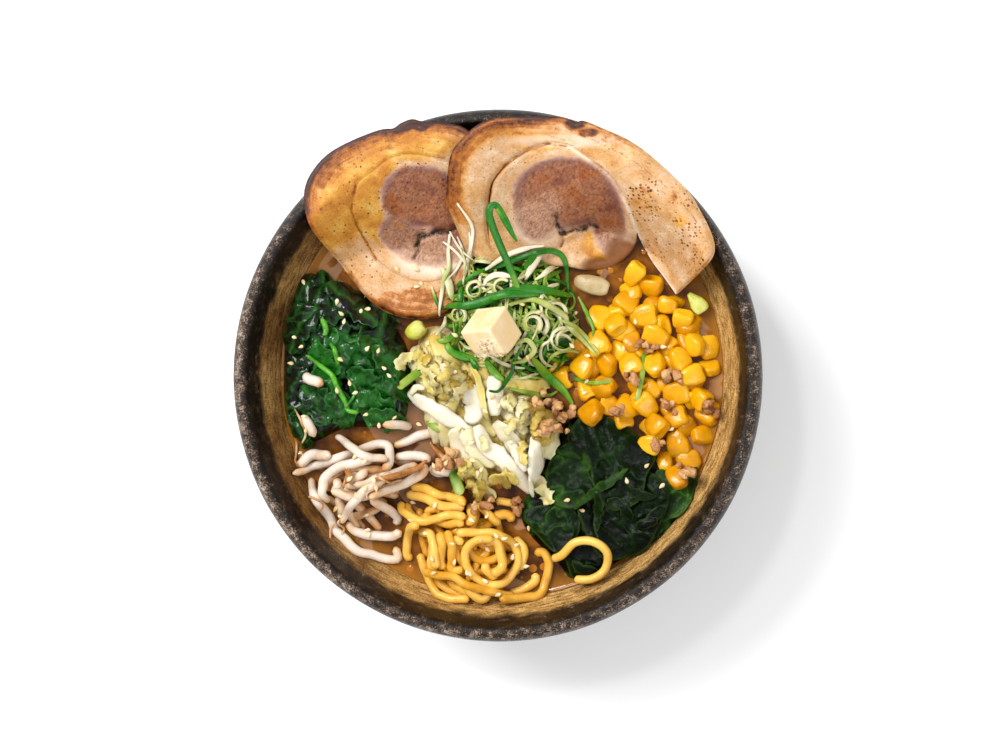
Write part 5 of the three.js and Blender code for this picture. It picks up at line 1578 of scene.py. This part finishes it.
# plan, half width, and the tone along it
SCALLION_BLADES = [
    ((32, 32, 38, 20, 38, 16), 0.9, (0.5, 0.6)), ((6, 28, 16, 30, 27, 24, 29, 20, 40, 8), 1.3, NECK),
    ((26, 22, 32, 19, 41, 9), 1.0, (0.4, 0.34)), ((18, 50, 15, 44, 12, 38), 1.5, WHITE),
    ((16, 48, 14, 46, 12, 42), 1.4, GREEN), ((23, 44, 19, 40, 16, 38), 1.1, (0.15, 0.1)),
    ((-4, 36, -3, 38, 1, 40, 8, 39), 1.2, WHITE), ((-23, 44, -20, 38, -18, 30), 1.7, (0.22, 0.16, 0.3)),
    ((-14, 36, -14, 32, -14, 28), 1.0, GREEN), ((-17, 36, -12, 38, -8, 40), 1.1, GREEN),
    ((-12, 38, -7, 41, 4, 45, 12, 48, 22, 50, 27, 46, 28, 34), 1.2, GREEN),
    ((-4, 42, 4, 48, 12, 51, 19, 52), 1.1, WHITE), ((-27, 36, -24, 28, -20, 27), 0.7, (0.1, 0.7, 0.8)),
    ((-21, 28, -10, 28, -2, 30, 10, 34, 18, 34, 30, 32), 1.9, (0.66, 0.78, 0.74, 0.6)),
    ((-2, 30, 6, 32, 18, 32), 1.5, GREEN), ((-20, 14, -17, 9, -7, 6), 1.7, (0.55, 0.66, 0.6)),
    ((-10, 7, -7, 2), 1.2, GREEN), ((-4, 6, -1, 2, 4, -3), 1.6, (0.62, 0.55)),
    ((-24, 14, -20, 14, -15, 17), 1.3, (0.5, 0.66)), ((-21, 24, -22, 20, -24, 16), 0.9, (0.2, 0.1)),
    ((5, -5, 19, -8, 24, -6), 1.0, (0.52, 0.46)),
    ((15, 7, 20, 0, 26, -6, 30, -12), 1.9, (0.5, 0.62, 0.56)),
    ((-2, -6, 2, -6, 6, 0, 8, 6, 12, 12), 0.8, (0.85, 0.8, 0.6)),
    ((8, 12, 13, 14, 16, 10, 12, 6, 7, 5), 1.1, (0.36, 0.28, 0.4)),
    ((-10, 57, -10, 51, -12, 46, -13, 36), 0.7, (0.0, 0.0, 0.2)),
    ((-14, 68, -9, 60, -9, 54, -11, 46), 0.7, (0.0, 0.0)),
    ((-19, 57, -20, 50, -20, 43, -22, 38, -24, 24), 0.9, (0.0, 0.06, 0.36, 0.1, 0.02)),
    ((-16, 56, -14, 50, -16, 44, -20, 39), 0.6, (0.0, 0.1)),
    ((-22, 54, -17, 50, -12, 44), 0.6, (0.0, 0.1)), ((-19, 58, -15, 51, -9, 46), 0.5, (0.0, 0.2)),
    ((-15, 52, -13, 46, -13, 40), 0.5, (0.1, 0.3))]
# x, y, radius and half width of the rings
SCALLION_RINGS = [
    (16, 20.5, 5.4, 1.0), (15.5, 20.5, 3.4, 0.9), (27, 14, 5.0, 0.8), (12, 9, 3.6, 0.8),
    (24, 25, 4.2, 0.8), (3, 35, 3.4, 0.7), (-15, 24, 3.5, 0.8), (-8, 34, 3.6, 0.7)]


# the tall blade: up out of the heap, folded over, and split at its tips. x, y, rise and half width
SCALLION_TALL = [
    ([(10.5, 31, 0), (8.5, 38, 2), (6, 44.5, 5), (3, 52, 8.5), (0.5, 59, 11), (-0.5, 64.5, 12.2),
        (2, 66.5, 12), (5.5, 61.5, 10.5), (8.5, 55, 9)], 1.55),
    ([(2.5, 65, 12), (6, 59, 10), (10, 52.5, 8)], 1.0)]


def make_scallion(look):
    pile, random = Pile(), np.random.default_rng(17)
    material = fresh_scallion(look)
    stalks = [strand(pile, pairs(*plan), radius, (0.56, 0.5, 0.4), flat=0.25, stiff=60, seed=i, blunt=0.1)
        for i, (plan, radius) in enumerate(GREEN_STALKS)]
    show("green_stalks", sweep(stalks, material, flat=0.25), material, "scallion")
    # the heart is a little smaller than the heap, and the shreds reach a little past it
    cx, cy = 6, 25
    heart_outline, reach = ([(cx + size * (x - cx), cy + size * (y - cy)) for x, y in SCALLION_OUTLINE]
        for size in (0.93, 1.06))
    # the heart under the shreds is dark green, as painted shade
    heart = mesh_from("heart", *core(pile, heart_outline, (cx, cy), 17.0, 2.5, 4, 81, 0.86))
    show("scallion_heart", heart, material, "scallion")
    blades = []
    while len(blades) < look.scallion_shreds:
        place = places_in(reach, 1, random)[0]
        plan = curled(place, random.uniform(0, 2 * ANY_TURN), random.uniform(-0.8, 0.8), 3.8)
        if all(within(reach, *p) for p in plan):
            tone = random.choice([0.06, 0.16, 0.3, 0.42, 0.56, 0.72], p=[0.08, 0.2, 0.26, 0.22, 0.14, 0.1])
            # the first ones lie deep in the heap, and are given darker tones as painted shade
            tone += 0.25 * (len(blades) < 80)
            blades.append(strand(pile, plan, random.uniform(0.45, 0.95), (tone, tone + 0.1), flat=0.3,
                stiff=14, seed=len(blades), twist=random.uniform(-0.7, 0.7), lift=0.1, taper=(0.7, 0.5)))
    # curls of leaf and ring slices, seen end on
    for x, y, width, thick in SCALLION_RINGS:
        start, ring = random.uniform(0, 2 * ANY_TURN), []
        for turn in np.linspace(0, random.uniform(4.6, 6.0), 12):
            away = width * (1 - 0.06 * turn)
            a = start + turn
            ring.append((x + away * math.cos(a), y + away * math.sin(a), 0.3 + 0.1 * turn))
        blades.append(strand(pile, ring, thick, (0.2, 0.1, 0.28, 0.4), flat=0.45, stiff=20, twist=0.9))
    for plan, radius, tone in SCALLION_BLADES:
        blades.append(strand(pile, pairs(*plan), radius, tone, flat=0.3, stiff=30, lift=0.3,
            seed=len(blades), taper=(0.55, 0.45), twist=random.uniform(-0.25, 0.25)))
    base = pile.rest(np.array([9.0]), np.array([30.0]), 1)[0]
    for plan, radius in SCALLION_TALL:
        path = spline(plan, 0.6)
        path[:, 2] = np.minimum(path[:, 2] + base - 1.5, RIM_HEIGHT + 15)
        t = np.linspace(0, 1, len(path))
        thickness = radius * (0.4 + 0.6 * np.sin(math.pi * (0.12 + 0.8 * t)))
        blades.append({"points": path, "thickness": thickness, "tone": 0.55 + 0.2 * smooth(3 * t),
            "twist": 0.3 * np.sin(3 * t)})
    mesh = sweep(blades, material, flat=0.3, sides=8)
    show("scallion_threads", mesh, material, "scallion", ["scallion_shreds"])


def make_leek_and_rounds(look):
    pale = lump_finish("braised_leek", ["#6f5a30", "#92794a", look.leek, "#c8b88e"], 1.4, 0.2,
        Roughness=0.25, IOR=1.4, glow=(0.3, (2.5, 2, 1.25)))
    lime = lump_finish("scallion_neck", ["#707c10", "#97a01c", "#b8ba3a", "#d8d680"], 1.4, 0.2,
        Roughness=0.25, IOR=1.4, glow=(0.2, (1.4, 2, 0.8)))
    for name, boxy, taper, turn, material, slot in (
            ("leek_white", 0.75, 0.1, -0.25, pale, "leek"), ("leek_wedge", 0.5, 0.55, -0.85, lime, "leek"),
            ("scallion_round", 0.9, 0.1, 0.5, lime, "scallion")):
        low, high = (np.array(corner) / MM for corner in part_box(name))
        size = (high - low) * (0.98, 0.9, 0.97) * ((1.15, 0.8, 1) if taper > 0.5 else 1)
        shape = lump(size, boxy=boxy, rough=0.4, seed=len(name), taper=taper, dent=0.15, sides=28, rows=19)
        mesh = scatter([((low + high) / 2, (0, 0, turn), 0.95, 0.45)], [shape], material)
        show(name + "_piece", mesh, material, slot, [name])


# ---------- sesame
def make_sesame(look):
    """Roasted sesame seeds over the greens, the noodles and the pork."""
    pile, random = Pile(), np.random.default_rng(29)
    spots = pairs(-80, 38, -85, 5, -64, -6, -59, -3, -57, -7, -47, 10, -45, 3, -43, 0, -53, 27, -63, 25,
        -48, -20, -42, -17, -33, -20, -82, -32, -41, 43, -33, 43, -33, 36, -31, 37, 18, 25, 2, -12, 30, 12,
        36, 8, -20, -35, -16, -34, -25, -36, 28, -50, 34, -54, 52, -42, 60, -36, -10, -58, 0, -64, -4, -70,
        12, -62, 66, -44)
    for outline, count in ((NOODLE_BED, 18), (CABBAGE_OUTLINE, 12), (SPINACH_OUTLINE, 10), (SPROUT_BED, 12),
            (CORN_OUTLINE, 9), (SCALLION_OUTLINE, 4)):
        spots += places_in(outline, count, random)
    things = laid(pile, random, spots, 0.6, (0.3, 0.35, ANY_TURN), (0.85, 1.1), (0.3, 0.8))
    material = lump_finish("roasted_sesame", ["#9a6a28", "#c99a58", look.sesame, "#f0dab0"], 3.0, 0.08,
        Roughness=0.35, IOR=1.45)
    long = look.seed / MM
    shapes = [lump((long, 0.63 * long, 0.41 * long), taper=0.55, rough=0.06, seed=1, sides=10, rows=8)]
    show("sesame_seeds", scatter(things, shapes, material), material, "cabbage")


# ---------- stage
SENSOR = 36  # mm across


def make_stage(look):
    """A pale floor, soft light from a window on the left, and the camera above the bowl."""
    scene = bpy.context.scene
    scene.view_settings.view_transform = "Standard"
    floor_mesh = bpy.data.meshes.new("floor")
    floor_mesh.from_pydata([(-3, -3, 0), (3, -3, 0), (3, 3, 0), (-3, 3, 0)], [], [(0, 1, 2, 3)])
    floor = bpy.data.objects.new("floor", floor_mesh)
    made, node, _ = new_material("white_sweep")
    surface(node, look.floor, Roughness=0.9)
    floor_mesh.materials.append(made)
    bpy.context.collection.objects.link(floor)
    world = bpy.data.worlds.new("studio")
    world.use_nodes = True
    background = world.node_tree.nodes["Background"].inputs
    background["Color"].default_value = (1, 1, 1, 1)
    background["Strength"].default_value = 0.6
    scene.world = world
    for name, place, size, power in (
            ("window", (-0.75, 0.65, 1.25), 0.7, look.window), ("fill", (0.9, -0.6, 1.1), 0.9, 8.0),
            ("glint", (-0.25, 0.45, 1.5), 0.12, 3.0)):
        lamp = bpy.data.lights.new(name, "AREA")
        lamp.size, lamp.energy = size, power
        light = bpy.data.objects.new(name, lamp)
        light.location = place
        light.rotation_euler = (Vector((0, 0, 0.07)) - Vector(place)).to_track_quat("-Z", "Y").to_euler()
        bpy.context.collection.objects.link(light)
    camera = bpy.data.objects.new("camera", bpy.data.cameras.new("camera"))
    away, up = look.distance * math.sin(look.tilt), look.distance * math.cos(look.tilt)
    camera.location = (away, 0, RIM_HEIGHT * MM + up)
    camera.rotation_euler = (0, look.tilt, 0)
    # the picture is about half as wide as the camera is far away
    camera.data.sensor_width = SENSOR
    camera.data.lens = 2.027 * SENSOR
    camera.data.shift_x, camera.data.shift_y = 0.007, 0.0005
    camera.data.clip_start = 0.01
    bpy.context.collection.objects.link(camera)
    scene.camera = camera


# ---------- operators and panel
class RAMEN_OT_stage(bpy.types.Operator):
    """Adds the floor, the lights and the camera"""
    bl_idname = "ramen.stage"
    bl_label = "Stage"

    def execute(self, context):
        make_stage(context.scene.ramen.stage)
        return {"FINISHED"}


class RAMEN_OT_bowl(bpy.types.Operator):
    """Adds the stoneware bowl"""
    bl_idname = "ramen.bowl"
    bl_label = "Bowl"

    def execute(self, context):
        make_bowl(context.scene.ramen.bowl)
        return {"FINISHED"}


class RAMEN_OT_broth(bpy.types.Operator):
    """Fills the bowl with broth"""
    bl_idname = "ramen.broth"
    bl_label = "Broth"

    def execute(self, context):
        make_broth(context.scene.ramen.bowl)
        return {"FINISHED"}


class RAMEN_OT_spinach(bpy.types.Operator):
    """Adds the boiled spinach"""
    bl_idname = "ramen.spinach"
    bl_label = "Spinach"

    def execute(self, context):
        make_spinach(context.scene.ramen.greens)
        return {"FINISHED"}


class RAMEN_OT_wakame(bpy.types.Operator):
    """Adds the soaked wakame"""
    bl_idname = "ramen.wakame"
    bl_label = "Wakame"

    def execute(self, context):
        make_wakame(context.scene.ramen.greens)
        return {"FINISHED"}


class RAMEN_OT_noodles(bpy.types.Operator):
    """Adds the nest of noodles and the loose loop"""
    bl_idname = "ramen.noodles"
    bl_label = "Noodles"

    def execute(self, context):
        make_noodles(context.scene.ramen.strands)
        return {"FINISHED"}


class RAMEN_OT_sprouts(bpy.types.Operator):
    """Adds the bean sprouts"""
    bl_idname = "ramen.sprouts"
    bl_label = "Bean Sprouts"

    def execute(self, context):
        make_sprouts(context.scene.ramen.strands)
        return {"FINISHED"}


class RAMEN_OT_corn(bpy.types.Operator):
    """Adds the corn kernels"""
    bl_idname = "ramen.corn"
    bl_label = "Corn"

    def execute(self, context):
        make_corn(context.scene.ramen.toppings)
        return {"FINISHED"}


class RAMEN_OT_cabbage(bpy.types.Operator):
    """Adds the wilted cabbage"""
    bl_idname = "ramen.cabbage"
    bl_label = "Cabbage"

    def execute(self, context):
        make_cabbage(context.scene.ramen.greens)
        return {"FINISHED"}


class RAMEN_OT_pork(bpy.types.Operator):
    """Adds the two slices of rolled pork belly"""
    bl_idname = "ramen.pork"
    bl_label = "Pork"

    def execute(self, context):
        make_pork(context.scene.ramen.pork)
        return {"FINISHED"}


class RAMEN_OT_scallion(bpy.types.Operator):
    """Adds the shredded scallion and its stalks"""
    bl_idname = "ramen.scallion"
    bl_label = "Scallion"

    def execute(self, context):
        make_scallion(context.scene.ramen.greens)
        return {"FINISHED"}


class RAMEN_OT_leek(bpy.types.Operator):
    """Adds the pieces of leek and the scallion round"""
    bl_idname = "ramen.leek"
    bl_label = "Leek"

    def execute(self, context):
        make_leek_and_rounds(context.scene.ramen.greens)
        return {"FINISHED"}


class RAMEN_OT_butter(bpy.types.Operator):
    """Adds the cube of butter"""
    bl_idname = "ramen.butter"
    bl_label = "Butter"

    def execute(self, context):
        make_butter(context.scene.ramen.toppings)
        return {"FINISHED"}


class RAMEN_OT_mince(bpy.types.Operator):
    """Scatters the fried minced pork"""
    bl_idname = "ramen.mince"
    bl_label = "Mince"

    def execute(self, context):
        make_mince(context.scene.ramen.pork)
        return {"FINISHED"}


class RAMEN_OT_sesame(bpy.types.Operator):
    """Scatters the sesame seeds"""
    bl_idname = "ramen.sesame"
    bl_label = "Sesame"

    def execute(self, context):
        make_sesame(context.scene.ramen.toppings)
        return {"FINISHED"}


class RAMEN_PT_sidebar(bpy.types.Panel):
    """Lists the operators and the settings"""
    bl_label = "Ramen Bowl"
    bl_space_type = "VIEW_3D"
    bl_region_type = "UI"
    bl_category = "Ramen"

    def draw(self, context):
        for operator in OPERATORS:
            self.layout.operator(operator.bl_idname)
        for name in RamenSettings.__annotations__:
            settings = getattr(context.scene.ramen, name)
            box = self.layout.box()
            for key in type(settings).__annotations__:
                box.prop(settings, key)


OPERATORS = (RAMEN_OT_stage, RAMEN_OT_bowl, RAMEN_OT_broth, RAMEN_OT_spinach, RAMEN_OT_wakame,
    RAMEN_OT_noodles, RAMEN_OT_sprouts, RAMEN_OT_corn, RAMEN_OT_cabbage, RAMEN_OT_pork, RAMEN_OT_scallion,
    RAMEN_OT_leek, RAMEN_OT_butter, RAMEN_OT_mince, RAMEN_OT_sesame)
SETTINGS = (BowlSettings, PorkSettings, StrandSettings, GreensSettings, ToppingSettings, StageSettings,
    RamenSettings)
CLASSES = SETTINGS + OPERATORS + (RAMEN_PT_sidebar,)


def register():
    for kind in CLASSES:
        bpy.utils.register_class(kind)
    bpy.types.Scene.ramen = bpy.props.PointerProperty(type=RamenSettings)


def unregister():
    del bpy.types.Scene.ramen
    for kind in reversed(CLASSES):
        bpy.utils.unregister_class(kind)


def main():
    register()
    for operator in OPERATORS:
        getattr(bpy.ops.ramen, operator.bl_idname.split(".")[1])()


if __name__ == "__main__":
    main()
